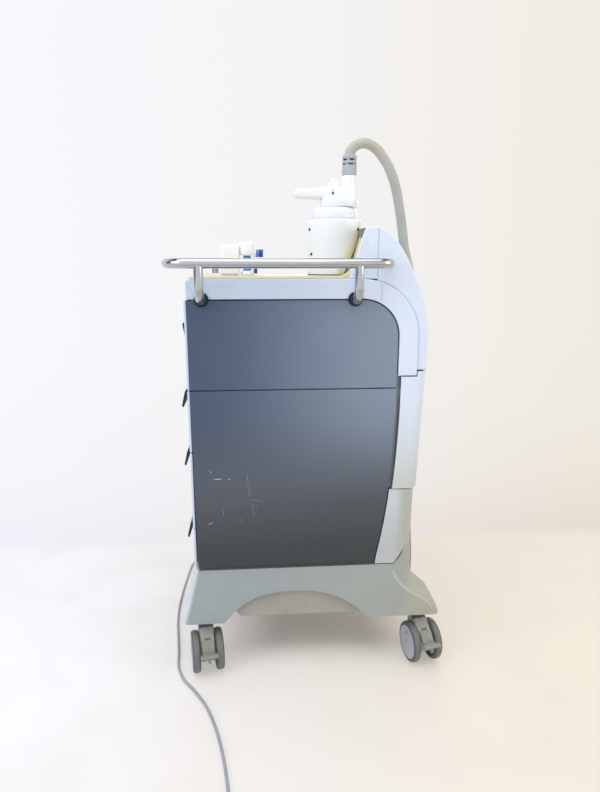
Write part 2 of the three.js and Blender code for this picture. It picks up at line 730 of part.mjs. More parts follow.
// Rear hood: a hollow cover that follows the band's round corner and drops behind it
function rearHood() {
  const gap = SEAT;
  const front = HOOD_SEAM_X + SEAT;
  const profile = (inset) => {
    const shape = new THREE.Shape();
    shape.moveTo(front, HOOD_TOP - inset);
    hoodRear(shape, inset);
    shape.lineTo(HOOD_REAR_X - inset, HOOD_FOOT);
    return shape;
  };
  const shape = profile(0);
  const half = HALF_WIDTH - 4;
  shape.lineTo(CORNER_X + BAND_RADIUS + gap, HOOD_FOOT);
  shape.lineTo(CORNER_X + BAND_RADIUS + gap, CORNER_Z);
  const meet = Math.acos((front - CORNER_X) / (BAND_RADIUS + gap));
  shape.absarc(CORNER_X, CORNER_Z, BAND_RADIUS + gap, 0, meet, false);
  const outer = sideForm(shape, -half, half, 3, 12);
  const room = profile(WALL);
  room.lineTo(HOOD_REAR_X - WALL, HOOD_FOOT - 20);
  room.lineTo(0, HOOD_FOOT - 20);
  room.lineTo(0, HOOD_TOP - WALL);
  const hollow = sideForm(room, -half + WALL, half - WALL, 0, 12);
  return outer.subtract(hollow);
}

// Worktop: a cream tray on the roof, swept up behind into the screen's surround
const backPlateThick = 8;
const faceLean = Math.atan((SCREEN_HEAD_X - SCREEN_FOOT_X) / HOOD_RISE);
const screenMiddle = (BAND_TOP + HOOD_TOP) / 2 + 2;

function leaning(x0, x1, y0, y1, halfHeight) {
  const geometry = new THREE.BoxGeometry(x1 - x0, y1 - y0, 2 * halfHeight);
  geometry.translate((x0 + x1) / 2, (y0 + y1) / 2, 0);
  geometry.rotateY(faceLean);
  geometry.translate(faceX(screenMiddle), 0, screenMiddle);
  return solid(geometry);
}

function worktop() {
  const foot = BAND_TOP + SEAT;
  const slab = planForm(roundedBox(FRONT_X + 14, SCREEN_FOOT_X + 20, -HALF_WIDTH + 18, HALF_WIDTH - 18, 26),
    foot, WORKTOP_Z);
  const half = HALF_WIDTH - 4 - CHEEK - SEAT;
  const back = 5;
  const shape = new THREE.Shape();
  shape.moveTo(faceX(foot, back) - 24, foot);
  shape.lineTo(faceX(foot, back) - 24, WORKTOP_Z);
  shape.quadraticCurveTo(faceX(WORKTOP_Z, back), WORKTOP_Z, faceX(WORKTOP_Z + 24, back), WORKTOP_Z + 24);
  const head = HOOD_TOP - WALL - SEAT;
  shape.lineTo(faceX(head, back), head);
  shape.lineTo(faceX(head, back + backPlateThick), head);
  shape.lineTo(faceX(foot, back + backPlateThick), foot);
  const sweep = sideForm(shape, -half, half, 0, 5);
  const lip = HALF_WIDTH - 18;
  const wide = slab.subtract(block(faceX(foot) - 4, FAR, -FAR, -half, 0, FAR * 3))
    .subtract(block(faceX(foot) - 4, FAR, half, FAR, 0, FAR * 3))
    .subtract(block(faceX(foot, back + backPlateThick), FAR, -lip, lip, 0, FAR * 3));
  const window = leaning(-20, 30, SCREEN_Y - SCREEN_WIDTH / 2 - SEAT, SCREEN_Y + SCREEN_WIDTH / 2 + SEAT,
    SCREEN_HEIGHT / 2 + SEAT);
  return wide.add(sweep).subtract(window).subtract(dockNiche(1));
}

function touchScreen() {
  return leaning(3, 3 + SCREEN_THICK, SCREEN_Y - SCREEN_WIDTH / 2, SCREEN_Y + SCREEN_WIDTH / 2, SCREEN_HEIGHT / 2);
}

// Rear wing cover: wraps round the rear with a finger gap beside the dark panels
function wingCover() {
  const foot = WING_TOP - WING_HEIGHT;
  const level = (z, rear, inset) => {
    return { z, front: 0, rear: rear - inset, half: HALF_WIDTH + 1.5 - inset, frontRound: 1,
      rearRound: 26 - inset };
  };
  const rearTop = HOOD_FOOT - SHUT_LINE;
  const outer = loft([level(foot, WING_FOOT_REAR_X, 0), level(rearTop, WING_TOP_REAR_X, 0)], 4);
  const inner = loft([level(foot - 1, WING_FOOT_REAR_X, WALL), level(rearTop + 1, WING_TOP_REAR_X, WALL)], 4);
  const underBand = block(-FAR, CORNER_X + BAND_RADIUS + 1.5, -FAR, FAR, WING_TOP, BAND_TOP);
  const front = new THREE.Shape();
  front.moveTo(-FAR, BASE_TOP);
  front.lineTo(REAR_EDGE_FOOT_X + WING_GAP, BASE_TOP);
  rearEdge(front, WING_GAP, SEAM_Z);
  front.lineTo(PANEL_REAR + WING_GAP, SEAM_Z + FAR);
  front.lineTo(-FAR, SEAM_Z + FAR);
  let cover = outer.subtract(inner).subtract(underBand).subtract(sideForm(front, -FAR, FAR, 0, 10));
  for (const side of [-1, 1]) {
    for (const z of [foot + 40, WING_TOP - 40]) {
      const [y0, y1] = side < 0 ? [-HALF_WIDTH + 2, -SHEET_Y - SEAT] : [SHEET_Y + SEAT, HALF_WIDTH - 2];
      cover = cover.add(block(PANEL_REAR + WING_GAP + 1, SHEET_REAR_X - 1, y0, y1, z - 9, z + 9));
    }
  }
  const stub = bar('x', 9 + SEAT, HOOD_SEAM_X, FAR, [0, GLAND_Y, GLAND_Z + 28], 20);
  return cover.subtract(stub);
}

// Lower rear cover: side strips and a rounded rear, with the vent, the switch and the mains inlet
function lowerCover() {
  const foot = BASE_TOP + SEAT;
  const top = WING_TOP - WING_HEIGHT - SHUT_LINE;
  const level = (z, round, inset) => {
    return { z, front: 0, rear: LOWER_REAR_X - inset, half: HALF_WIDTH - inset, frontRound: 1,
      rearRound: round - inset };
  };
  const outer = loft([level(foot, 44, 0), level(top, 24, 0)], 4);
  const inner = loft([level(foot - 1, 44, WALL), level(top + 1, 24, WALL)], 4);
  const front = new THREE.Shape();
  front.moveTo(-FAR, 0);
  front.lineTo(REAR_EDGE_FOOT_X + SHUT_LINE, 0);
  front.lineTo(REAR_EDGE_FOOT_X + SHUT_LINE, BASE_TOP);
  rearEdge(front, SHUT_LINE, SEAM_Z);
  front.lineTo(-FAR, SEAM_Z);
  const shoulder = outline([
    [LOWER_REAR_X - 44 - SEAT, 0],
    [LOWER_REAR_X - 44 - SEAT, BASE_TOP + SEAT],
    [LOWER_REAR_X - 19 - SEAT, BASE_TOP + 33 + SEAT],
    [LOWER_REAR_X + 10, BASE_TOP + REAR_SHOULDER + 3 + 2 * SEAT],
    [FAR, 0],
  ]);
  let cover = outer.subtract(inner).subtract(sideForm(front, -FAR, FAR, 0, 10));
  cover = cover.subtract(sideForm(shoulder, -FAR, FAR));
  for (const side of [-1, 1]) {
    const [y0, y1] = side < 0 ? [-HALF_WIDTH + 4, -SHEET_Y - SEAT] : [SHEET_Y + SEAT, HALF_WIDTH - 4];
    cover = cover.add(block(SHEET_REAR_X - 24, SHEET_REAR_X - 6, y0, y1, top - 40, top - 22));
  }
  for (let slot = 0; slot < VENT_SLOTS; slot += 1) {
    const z = FAN_Z + (slot - (VENT_SLOTS - 1) / 2) * 10;
    cover = cover.subtract(block(LOWER_REAR_X - 20, FAR, FAN_Y - 38, FAN_Y + 38, z - 2.5, z + 2.5));
  }
  const [halfY, halfZ] = SWITCH_HALF;
  const opening = block(LOWER_REAR_X - 20, FAR, SWITCH_Y - halfY - RUNNING, SWITCH_Y + halfY + RUNNING,
    INLET_Z - halfZ - RUNNING, INLET_Z + halfZ + RUNNING);
  return cover.subtract(opening);
}

// Mains switch: a rocker with a shallow V face
function rockerSwitch() {
  const [halfY, halfZ] = SWITCH_HALF;
  const face = LOWER_REAR_X + 1;
  const shape = outline([
    [face - 11, INLET_Z - halfZ + 3],
    [face, INLET_Z - halfZ],
    [face + 2.5, INLET_Z - halfZ],
    [face, INLET_Z],
    [face + 2.5, INLET_Z + halfZ],
    [face, INLET_Z + halfZ],
    [face - 11, INLET_Z + halfZ - 3],
  ]);
  return sideForm(shape, SWITCH_Y - halfY, SWITCH_Y + halfY);
}

// Drawers: moulded front, folded tray and black pull
function drawerFront(foot, top) {
  const gap = SHUT_LINE / 2;
  const half = PANEL_Y - 1;
  const face = frontForm(roundedBox(-half, half, foot + gap, top - gap, 4), FRONT_FACE_X, FRONT_X - SEAT, 1.2, 3);
  const backing = block(FRONT_X - SEAT - 1, FRONT_X + 6, -half + 16.5, half - 16.5, foot + 9, top - 7);
  return face.add(backing);
}

function drawerTray(foot, top) {
  const x0 = FRONT_X + 6 + SEAT;
  const x1 = BULKHEAD_X - TRAY_REAR_GAP;
  const z0 = foot + 10 + SEAT;
  const z1 = top - TRAY_HEADROOM;
  const half = TRAY_HALF_WIDTH;
  const room = block(x0 + TRAY_WALL, x1 - TRAY_WALL, -half + 4 + TRAY_WALL, half - 4 - TRAY_WALL, z0 + TRAY_WALL, z1 + 1);
  const runner = SHEET_Y - SHEET - SEAT - 1;
  const runners = [block(x0, x1, -runner, -half + 5, z0, z0 + 8), block(x0, x1, half - 5, runner, z0, z0 + 8)];
  return joined([block(x0, x1, -half + 4, half - 4, z0, z1), ...runners]).subtract(room);
}

function lipPull(top) {
  const x = FRONT_FACE_X - SEAT;
  const z = top - 8;
  const shape = new THREE.Shape();
  shape.moveTo(x, z);
  shape.lineTo(x - 8, z - 1);
  shape.quadraticCurveTo(x - 12, z - 3, x - 14, z - 10);
  shape.lineTo(x - PULL_REACH, z - PULL_HEIGHT + 4);
  shape.quadraticCurveTo(x - PULL_REACH, z - PULL_HEIGHT, x - PULL_REACH + 4, z - PULL_HEIGHT);
  shape.lineTo(x - 14 + PULL_THICK, z - 17);
  shape.lineTo(x, z - 12);
  return sideForm(shape, -PULL_HALF_WIDTH, PULL_HALF_WIDTH, 1, 3);
}

function scoopPull(top) {
  const x = FRONT_FACE_X - SEAT;
  const z = top - 55;
  const shape = new THREE.Shape();
  shape.moveTo(x, z);
  shape.lineTo(x - TOP_PULL_REACH + 1, z);
  shape.quadraticCurveTo(x - TOP_PULL_REACH, z - 1, x - TOP_PULL_REACH, z - 6);
  shape.lineTo(x - 2, z - TOP_PULL_HEIGHT);
  shape.lineTo(x, z - TOP_PULL_HEIGHT);
  const half = PULL_HALF_WIDTH;
  const scoop = outline([
    [x - TOP_PULL_REACH + 3.5, z + 2],
    [x - 2, z + 2],
    [x - 2, z - 34],
    [x - TOP_PULL_REACH + 7, z - 24],
  ]);
  return sideForm(shape, -half, half, 1, 3).subtract(sideForm(scoop, -half + 6, half - 6));
}

// Handrail: one loop round the front with its ends turned into the hood, and four bent posts
function handrail() {
  const y = HALF_WIDTH + RAIL_STANDOFF;
  const endY = HALF_WIDTH - 4 + SEAT;
  const at = (px, py, pz) => new THREE.Vector3(px, py, pz);
  const loop = bentRoute([
    at(RAIL_END_X, -endY, RAIL_Z),
    at(RAIL_END_X, -y, RAIL_Z),
    at(RAIL_FRONT_X, -y, RAIL_Z),
    at(RAIL_FRONT_X, y, RAIL_Z),
    at(RAIL_END_X, y, RAIL_Z),
    at(RAIL_END_X, endY, RAIL_Z),
  ], [RAIL_END_BEND, RAIL_CORNER, RAIL_CORNER, RAIL_END_BEND], 4);
  const pieces = [solid(tube(loop, RAIL_RADIUS, RAIL_SIDES))];
  for (const x of POST_XS) {
    for (const side of [-1, 1]) {
      const post = bentRoute([
        at(x, side * y, RAIL_Z - 2),
        at(x, side * y, PANEL_TOP + 1),
        at(x, side * (HALF_WIDTH - 10), PANEL_TOP + 1),
      ], [POST_BEND], 4);
      pieces.push(solid(tube(post, RAIL_RADIUS - 0.2, RAIL_SIDES)));
    }
  }
  return joined(pieces);
}

// Dock cup: a white cup with a rolled rim and a leaning back, and a socket for the can's cone
function dockCup() {
  const foot = WORKTOP_Z + SEAT;
  const inner = DOCK_RADIUS - DOCK_WALL;
  const cup = turned([
    [0, foot],
    [DOCK_FOOT_RADIUS - 3, foot],
    [DOCK_FOOT_RADIUS, foot + 4],
    [DOCK_RADIUS, DOCK_RIM - 12],
    [DOCK_RADIUS, DOCK_RIM - 4],
    [DOCK_RADIUS - 2.5, DOCK_RIM],
    [inner, DOCK_RIM],
    [inner, foot + DOCK_FLOOR + 55],
    [HEAD_WINDOW_RADIUS + 3, foot + DOCK_FLOOR],
    [0, foot + DOCK_FLOOR],
  ], DOCK_X, DOCK_Y, 36);
  return cup.subtract(behindDock(0));
}

// Treatment head: the can in the dock, the handle on it, its push button and the hose boot
function headCan() {
  const foot = WORKTOP_Z + 2 * SEAT + DOCK_FLOOR;
  return turned([
    [0, foot],
    [HEAD_WINDOW_RADIUS - 3, foot],
    [HEAD_WINDOW_RADIUS, foot + 3],
    [HEAD_RADIUS - 2, foot + 48],
    [HEAD_RADIUS, foot + 52],
    [HEAD_RADIUS, HEAD_TOP - 12],
    [HEAD_RADIUS - 2, HEAD_TOP - 6],
    [HEAD_RADIUS - 7, HEAD_TOP],
    [0, HEAD_TOP],
  ], DOCK_X, DOCK_Y, 32);
}

function headHandle() {
  const foot = HEAD_TOP + SEAT;
  const collar = turned([
    [0, foot],
    [COLLAR_RADIUS - 3, foot],
    [COLLAR_RADIUS, foot + 3],
    [COLLAR_RADIUS, foot + COLLAR_HEIGHT - 6],
    [COLLAR_RADIUS - 8, foot + COLLAR_HEIGHT],
    [0, foot + COLLAR_HEIGHT],
  ], COLLAR_X, DOCK_Y, 28);
  const arm = new THREE.Shape();
  const armTop = COLLAR_TOP + ARM_THICK;
  arm.moveTo(NECK_X, COLLAR_TOP - 3);
  arm.lineTo(NECK_X, armTop);
  arm.lineTo(BUTTON_X + 16, armTop + 4);
  arm.lineTo(BUTTON_X - 14, armTop + 3);
  arm.lineTo(ARM_TIP_X + 8, armTop - 2);
  arm.quadraticCurveTo(ARM_TIP_X - 2, armTop - 2, ARM_TIP_X, armTop - 9);
  arm.quadraticCurveTo(ARM_TIP_X + 6, COLLAR_TOP + 2, ARM_TIP_X + 26, COLLAR_TOP + 1);
  arm.lineTo(COLLAR_X - 34, COLLAR_TOP - 3);
  const armForm = sideForm(arm, DOCK_Y - ARM_HALF_WIDTH, DOCK_Y + ARM_HALF_WIDTH, 3.5, 3);
  const neck = turned([
    [0, COLLAR_TOP - 4],
    [NECK_RADIUS + 3, COLLAR_TOP - 4],
    [NECK_RADIUS + 2, armTop],
    [NECK_RADIUS, armTop + 8],
    [NECK_RADIUS, NECK_TOP],
    [0, NECK_TOP],
  ], NECK_X, DOCK_Y, 20);
  const boss = frontForm(roundedBox(DOCK_Y - 13, DOCK_Y + 13, armTop - 4, armTop + BUTTON_BOSS, 3),
    BUTTON_X - 11, BUTTON_X + 11, 2, 3);
  const reach = BUTTON_SIZE / 2 - 1.5 + RUNNING;
  const pocket = block(BUTTON_X - reach, BUTTON_X + reach, DOCK_Y - reach, DOCK_Y + reach,
    armTop + 6, armTop + BUTTON_BOSS + 1);
  return joined([collar, armForm, neck, boss]).subtract(pocket);
}

function headButton() {
  const foot = COLLAR_TOP + ARM_THICK + 6 + 3.5;
  const top = COLLAR_TOP + ARM_THICK + BUTTON_BOSS + BUTTON_PROUD;
  const reach = BUTTON_SIZE / 2 - 1.5;
  return frontForm(roundedBox(DOCK_Y - reach, DOCK_Y + reach, foot, top, 2), BUTTON_X - reach, BUTTON_X + reach, 1.2, 3);
}

function hoseBoot() {
  const foot = NECK_TOP + SEAT;
  const grip = [[0, foot], [BOOT_RADIUS, foot], [BOOT_RADIUS, foot + 22]];
  for (const z of [22, 31]) {
    grip.push([BOOT_RADIUS - 1.6, foot + z + 1]);
    grip.push([BOOT_RADIUS - 1.6, foot + z + 4]);
    grip.push([BOOT_RADIUS - 0.4, foot + z + 5]);
    if (z < 31) grip.push([BOOT_RADIUS - 0.4, foot + z + 8.5]);
  }
  grip.push([BOOT_RADIUS - 1, foot + BOOT_HEIGHT - 2], [BOOT_RADIUS - 3, foot + BOOT_HEIGHT], [0, foot + BOOT_HEIGHT]);
  return turned(grip, NECK_X, DOCK_Y, 20);
}

// Hose: up out of the boot, over, and down behind the hood to a hanging loop and its gland
const hosePoints = [
  [NECK_X - PANEL_REAR, DOCK_Y, BOOT_TOP + SEAT],
  [NECK_X - PANEL_REAR, DOCK_Y, BOOT_TOP + 5],
  [-88, DOCK_Y + 0.5, 1229],
  [-70, DOCK_Y + 2, 1237],
  [-52, DOCK_Y + 5, 1235],
  [-35, DOCK_Y + 8, 1225],
  [-18, DOCK_Y + 11, 1207],
  [-5, DOCK_Y + 13, 1188],
  [12, DOCK_Y + 18, 1150],
  [26, DOCK_Y + 25, 1098],
  [38, DOCK_Y + 33, 1041],
  [44, DOCK_Y + 37, 1009],
  [58, -54, 962],
  [70, -50, 912],
  [79, -48, 850],
  [84, -48, 780],
  [86, -48, 700],
  [86, -48, 620],
  [85, -47, 560],
  [83, -40, 505],
  [GLAND_X - PANEL_REAR, -18, 462],
  [GLAND_X - PANEL_REAR, 20, 441],
  [GLAND_X - PANEL_REAR, 62, 441],
  [GLAND_X - PANEL_REAR, 100, 462],
  [GLAND_X - PANEL_REAR, 122, 505],
  [GLAND_X - PANEL_REAR, GLAND_Y, 560],
  [GLAND_X - PANEL_REAR, GLAND_Y, GLAND_Z - HOSE_DIAMETER],
  [GLAND_X - PANEL_REAR, GLAND_Y, GLAND_Z - SEAT],
].map(([back, y, z]) => [PANEL_REAR + back, y, z]);

// Hose gland: an elbow whose stub passes through the wing cover
function hoseGland() {
  const x = GLAND_X;
  const skirt = bar('z', HOSE_DIAMETER / 2 + 4, GLAND_Z, GLAND_Z + 26, [x, GLAND_Y, 0], 24);
  const cap = new THREE.CylinderGeometry(8, HOSE_DIAMETER / 2 + 4, 16, 24);
  cap.rotateX(Math.PI / 2);
  cap.translate(x, GLAND_Y, GLAND_Z + 26 + 7.9);
  const stub = bar('x', 9, 225, x, [0, GLAND_Y, GLAND_Z + 28], 20);
  return joined([skirt, solid(cap), stub]);
}

// Mains cord: out of the rear, down, under the cart, round the front on the floor, to its coil
const cordRadius = CORD_DIAMETER / 2;
const cordFloor = cordRadius + SEAT;
const cordPoints = [
  [RELIEF_X + RELIEF_LENGTH + SEAT, INLET_Y, INLET_Z],
  [RELIEF_X + RELIEF_LENGTH + CORD_DIAMETER, INLET_Y, INLET_Z],
  [LOWER_REAR_X + 57, INLET_Y, 382],
  [LOWER_REAR_X + 64, INLET_Y, 370],
  [LOWER_REAR_X + 67, INLET_Y, 345],
  [LOWER_REAR_X + 68, INLET_Y, 300],
  [LOWER_REAR_X + 69, INLET_Y, 250],
  [LOWER_REAR_X + 72, INLET_Y, 200],
  [LOWER_REAR_X + 75, INLET_Y, 150],
  [LOWER_REAR_X + 75, INLET_Y, 90],
  [LOWER_REAR_X + 70, INLET_Y, 45],
  [LOWER_REAR_X + 54, INLET_Y, 17],
  [LOWER_REAR_X + 26, 66, 6],
  [225, 68, cordFloor],
  [160, 80, cordFloor],
  [90, 112, cordFloor],
  [30, 160, cordFloor],
  [-20, 225, cordFloor],
  [-70, 295, cordFloor],
  [-135, 350, cordFloor],
  [-210, 380, cordFloor],
  [-280, 382, cordFloor],
  [-326, 360, cordFloor],
  [-348, 310, cordFloor],
  [-356, 230, cordFloor],
  [-361, 140, cordFloor],
  [-362, 60, cordFloor],
  [-357, -15, cordFloor],
  [-347, -85, cordFloor],
  [-338, -150, cordFloor],
  [-332, -200, cordFloor],
  [-315, -246, cordFloor],
  [-284, -290, cordFloor],
  [-254, -340, cordFloor],
  [-230, -400, cordFloor],
  [-211, -470, cordFloor],
  [-198, -540, cordFloor],
  [-189, -605, cordFloor],
];

// The coil winds in on the floor, climbs a layer, winds out on top and leads to the plug
function cordCoilPoints() {
  const [cx, cy] = COIL_CENTRE;
  const start = Math.PI;
  const turns = 2 * COIL_TURNS + 0.5;
  const steps = Math.round(turns * COIL_STEPS);
  const points = [new THREE.Vector3(cx - COIL_OUTER, cy + CORD_DIAMETER, cordFloor)];
  for (let i = 0; i <= steps; i += 1) {
    const turn = turns * i / steps;
    const angle = start + turn * 2 * Math.PI;
    const inward = Math.min(turn, COIL_TURNS);
    const outward = Math.max(turn - COIL_TURNS - 0.5, 0);
    const climb = THREE.MathUtils.clamp((turn - COIL_TURNS) / 0.5, 0, 1);
    const radius = COIL_OUTER - COIL_PITCH * (inward - outward);
    const height = cordFloor + COIL_LAYER * (1 - Math.cos(climb * Math.PI)) / 2;
    points.push(new THREE.Vector3(cx + radius * Math.cos(angle), cy + radius * Math.sin(angle), height));
  }
  const end = points[points.length - 1];
  const away = end.clone().sub(points[points.length - 2]).setZ(0).normalize();
  const plugZ = PLUG_RADIUS + SEAT;
  for (const [along, height] of [[10, end.z + 1], [22, plugZ - 0.6], [30, plugZ], [30 + CORD_DIAMETER, plugZ]]) {
    points.push(end.clone().addScaledVector(away, along).setZ(height));
  }
  return points;
}

const coilPoints = cordCoilPoints();
cordPoints.push([coilPoints[0].x, coilPoints[0].y + 2 * CORD_DIAMETER, cordFloor]);
cordPoints.push([coilPoints[0].x, coilPoints[0].y + SEAT, cordFloor]);

function leastSelfGap(points, diameter, skip) {
  let least = Infinity;
  for (let i = 0; i < points.length; i += 1) {
    for (let j = i + skip; j < points.length; j += 1) {
      least = Math.min(least, points[i].distanceTo(points[j]) - diameter);
    }
  }
  return least;
}

function mainsPlug(tip, direction) {
  const body = new THREE.CylinderGeometry(PLUG_RADIUS - 2, PLUG_RADIUS, PLUG_LENGTH * 0.6, 16);
  const neck = new THREE.CylinderGeometry(5.5, 8, PLUG_LENGTH * 0.4 + 0.1, 16);
  body.translate(0, PLUG_LENGTH * 0.7, 0);
  neck.rotateX(Math.PI);
  neck.translate(0, PLUG_LENGTH * 0.2 + 0.05, 0);
  const pins = [[-5, 0], [5, 0], [0, 5]].map(([x, z]) => {
    const pin = new THREE.CylinderGeometry(1.6, 1.6, 20, 8);
    pin.translate(x, PLUG_LENGTH + 9, z);
    return solid(pin);
  });
  const plug = geometryOf(joined([solid(body), solid(neck), ...pins]));
  const turn = new THREE.Quaternion().setFromUnitVectors(new THREE.Vector3(0, 1, 0), direction);
  plug.applyQuaternion(turn);
  plug.translate(tip.x, tip.y, tip.z);
  return plug;
}

// Strain relief: a tapered, grooved sleeve on the lower rear cover
function strainRelief() {
  const length = RELIEF_LENGTH;
  const profile = [[0, 0], [11, 0], [11, 4], [8, 4]];
  for (let ring = 0; ring < 4; ring += 1) {
    const z = 8 + ring * 8;
    const radius = 8 - ring * 0.8;
    profile.push([radius - 1, z], [radius - 1, z + 2.5], [radius, z + 3.5]);
  }
  profile.push([4.9, length], [0, length]);
  const geometry = new THREE.LatheGeometry(profile.map(([r, z]) => new THREE.Vector2(r, z)), 12);
  geometry.rotateZ(-Math.PI / 2);
  geometry.translate(RELIEF_X, INLET_Y, INLET_Z);
  return solid(geometry);
}

// Fan: a square frame with its hub on three arms, and the impeller on the hub's pin
function fanFrame() {
  const x1 = LOWER_REAR_X - WALL - SEAT;
  const x0 = x1 - FAN_DEPTH;
  const half = FAN_SIZE / 2;
  const box = block(x0, x1, FAN_Y - half, FAN_Y + half, FAN_Z - half, FAN_Z + half);
  const ring = box.subtract(bar('x', half - 5, x0 - 1, x1 + 1, [0, FAN_Y, FAN_Z], 32));
  const arms = [0, 1, 2].map((arm) => {
    const geometry = new THREE.BoxGeometry(3, 6, half - 2);
    geometry.translate(0, 0, (half - 2) / 2);
    geometry.rotateX(arm * 2 * Math.PI / 3);
    geometry.translate(x0 + 1.5, FAN_Y, FAN_Z);
    return solid(geometry);
  });
  const hub = bar('x', 16, x0, x0 + 3, [0, FAN_Y, FAN_Z], 24);
  const pin = bar('x', 2.5, x0, x0 + 12, [0, FAN_Y, FAN_Z], 12);
  return joined([ring, ...arms, hub, pin]);
}

function fanImpeller() {
  const x0 = LOWER_REAR_X - WALL - SEAT - FAN_DEPTH + 3 + RUNNING;
  const hub = bar('x', 15, x0, x0 + 16, [0, FAN_Y, FAN_Z], 24);
  const pieces = [hub];
  const reach = FAN_SIZE / 2 - 7;
  for (let blade = 0; blade < FAN_BLADES; blade += 1) {
    const geometry = new THREE.BoxGeometry(1.6, 17, reach - 12);
    geometry.rotateZ(0.7);
    geometry.translate(0, 0, (reach + 12) / 2);
    geometry.rotateX(blade / FAN_BLADES * 2 * Math.PI);
    geometry.translate(x0 + 8, FAN_Y, FAN_Z);
    pieces.push(solid(geometry));
  }
  return joined(pieces).subtract(bar('x', 2.5 + SEAT, x0 - 1, x0 + 10, [0, FAN_Y, FAN_Z], 12));
}

// Modules on the rear of the bulkhead
function generatorModule() {
  const x0 = BULKHEAD_X + SHEET + SEAT;
  const [y0, y1] = GENERATOR_SIDES;
  const top = GENERATOR_FOOT_Z + GENERATOR_HEIGHT;
  let box = block(x0, x0 + GENERATOR_DEPTH, y0, y1, GENERATOR_FOOT_Z, top);
  for (let y = y0 + FIN_PITCH - FIN_GAP; y < y1 - FIN_GAP; y += FIN_PITCH) {
    box = box.subtract(block(x0 + GENERATOR_DEPTH - FIN_DEPTH, x0 + FAR, y, y + FIN_GAP, 0, FAR * 3));
  }
  return box;
}

function powerSupply() {
  const x0 = BULKHEAD_X + SHEET + SEAT;
  const [y0, y1] = SUPPLY_SIDES;
  const foot = deckTop + SUPPLY_RISE;
  const body = block(x0, x0 + SUPPLY_DEPTH, y0, y1, foot, foot + SUPPLY_HEIGHT);
  return body.add(block(x0 + SUPPLY_DEPTH - 1, x0 + SUPPLY_DEPTH + 6, y0 + 20, y1 - 40, foot + 20, foot + 50));
}

// Transducer cartridge, left standing on the worktop beside its storage cap
function transducerCartridge() {
  const foot = WORKTOP_Z + SEAT;
  const x = -152;
  const y = -100;
  const body = turned([
    [0, foot],
    [14, foot],
    [15, foot + 6],
    [20, foot + 12],
    [22, foot + 34],
    [25, foot + 40],
    [25, foot + 60],
    [20, foot + 70],
    [9, foot + 74],
    [0, foot + 74],
  ], x, y, 20);
  const nozzle = bar('x', 9, x + 10, x + 44, [0, y, foot + 50], 16);
  const shell = frontForm(roundedBox(y - 16, y + 16, foot + 22, foot + 62, 10), x - 58, x - 8, 3, 3);
  const foot2 = block(x - 50, x - 36, y - 12, y + 12, foot, foot + 30);
  return joined([body, nozzle, shell, foot2]);
}

// Caster: fork with its axle, two wheels and the brake pedal, built round the stem
const pedalPivot = [CASTER_TRAIL + 21, 84];

// A point of the caster's side view, given by its radius and angle about the axle
function aboutAxle(radius, degrees) {
  const angle = THREE.MathUtils.degToRad(degrees);
  return [-CASTER_TRAIL + radius * Math.cos(angle), AXLE_Z + radius * Math.sin(angle)];
}

function arcAboutAxle(shape, radius, from, to) {
  const [start, end] = [from, to].map(THREE.MathUtils.degToRad);
  shape.absarc(-CASTER_TRAIL, AXLE_Z, radius, start, end, to < from);
}

function casterFork() {
  const half = FORK_WIDTH / 2;
  const collarFoot = CASTER_HEIGHT - STEM_DROP;
  const shape = new THREE.Shape();
  shape.moveTo(STEM_RADIUS - 2, collarFoot + 1);
  shape.lineTo(STEM_RADIUS - 2, collarFoot - 21);
  shape.quadraticCurveTo(STEM_RADIUS - 2, AXLE_Z + 9, ...aboutAxle(GUARD_RADIUS + 5, -14));
  shape.lineTo(...aboutAxle(20, -40));
  arcAboutAxle(shape, 20, -40, -140);
  shape.lineTo(...aboutAxle(GUARD_RADIUS, 192));
  arcAboutAxle(shape, GUARD_RADIUS, 192, 150);
  shape.lineTo(...aboutAxle(GUARD_RADIUS + 3.5, 130));
  shape.lineTo(...aboutAxle(PEDAL_RADIUS - 1.5, 118));
  shape.lineTo(...aboutAxle(PEDAL_RADIUS - 1, 108));
  shape.lineTo(-STEM_RADIUS + 1, collarFoot + 1);
  const body = frontForm(shape, -half, half, 3, 3);
  const collar = bar('z', STEM_RADIUS, collarFoot, CASTER_HEIGHT, [0, 0, 0], 20);
  const axle = bar('x', AXLE_RADIUS, -half - WHEEL_WIDTH, half + WHEEL_WIDTH, [0, -CASTER_TRAIL, AXLE_Z], 12);
  const [py, pz] = pedalPivot;
  const slot = block(-7, 7, -FAR, -CASTER_TRAIL - 12, pz - 9, pz + 22);
  const pin = bar('x', 2.5, -8, 8, [0, -py, pz], 8);
  return joined([body.subtract(slot), collar, axle, pin]);
}

function casterWheel(side) {
  const inner = FORK_WIDTH / 2 + RUNNING;
  const r = WHEEL_RADIUS;
  const w = WHEEL_WIDTH - 1;
  const profile = [
    [AXLE_RADIUS + SEAT, 0],
    [r - 8, 0],
    [r - 2.5, 2.5],
    [r, 7],
    [r, w - 7],
    [r - 2.5, w - 2.5],
    [r - 8, w],
    [r - 10, w - 1.5],
    [AXLE_RADIUS + SEAT, w - 1],
    [AXLE_RADIUS + SEAT, 0],
  ].map(([radius, x]) => new THREE.Vector2(radius, x));
  const geometry = new THREE.LatheGeometry(profile, WHEEL_FACETS);
  geometry.rotateY(Math.PI / WHEEL_FACETS);
  geometry.rotateZ(-Math.PI / 2 * side);
  geometry.translate(side * inner, -CASTER_TRAIL, AXLE_Z);
  return solid(geometry);
}

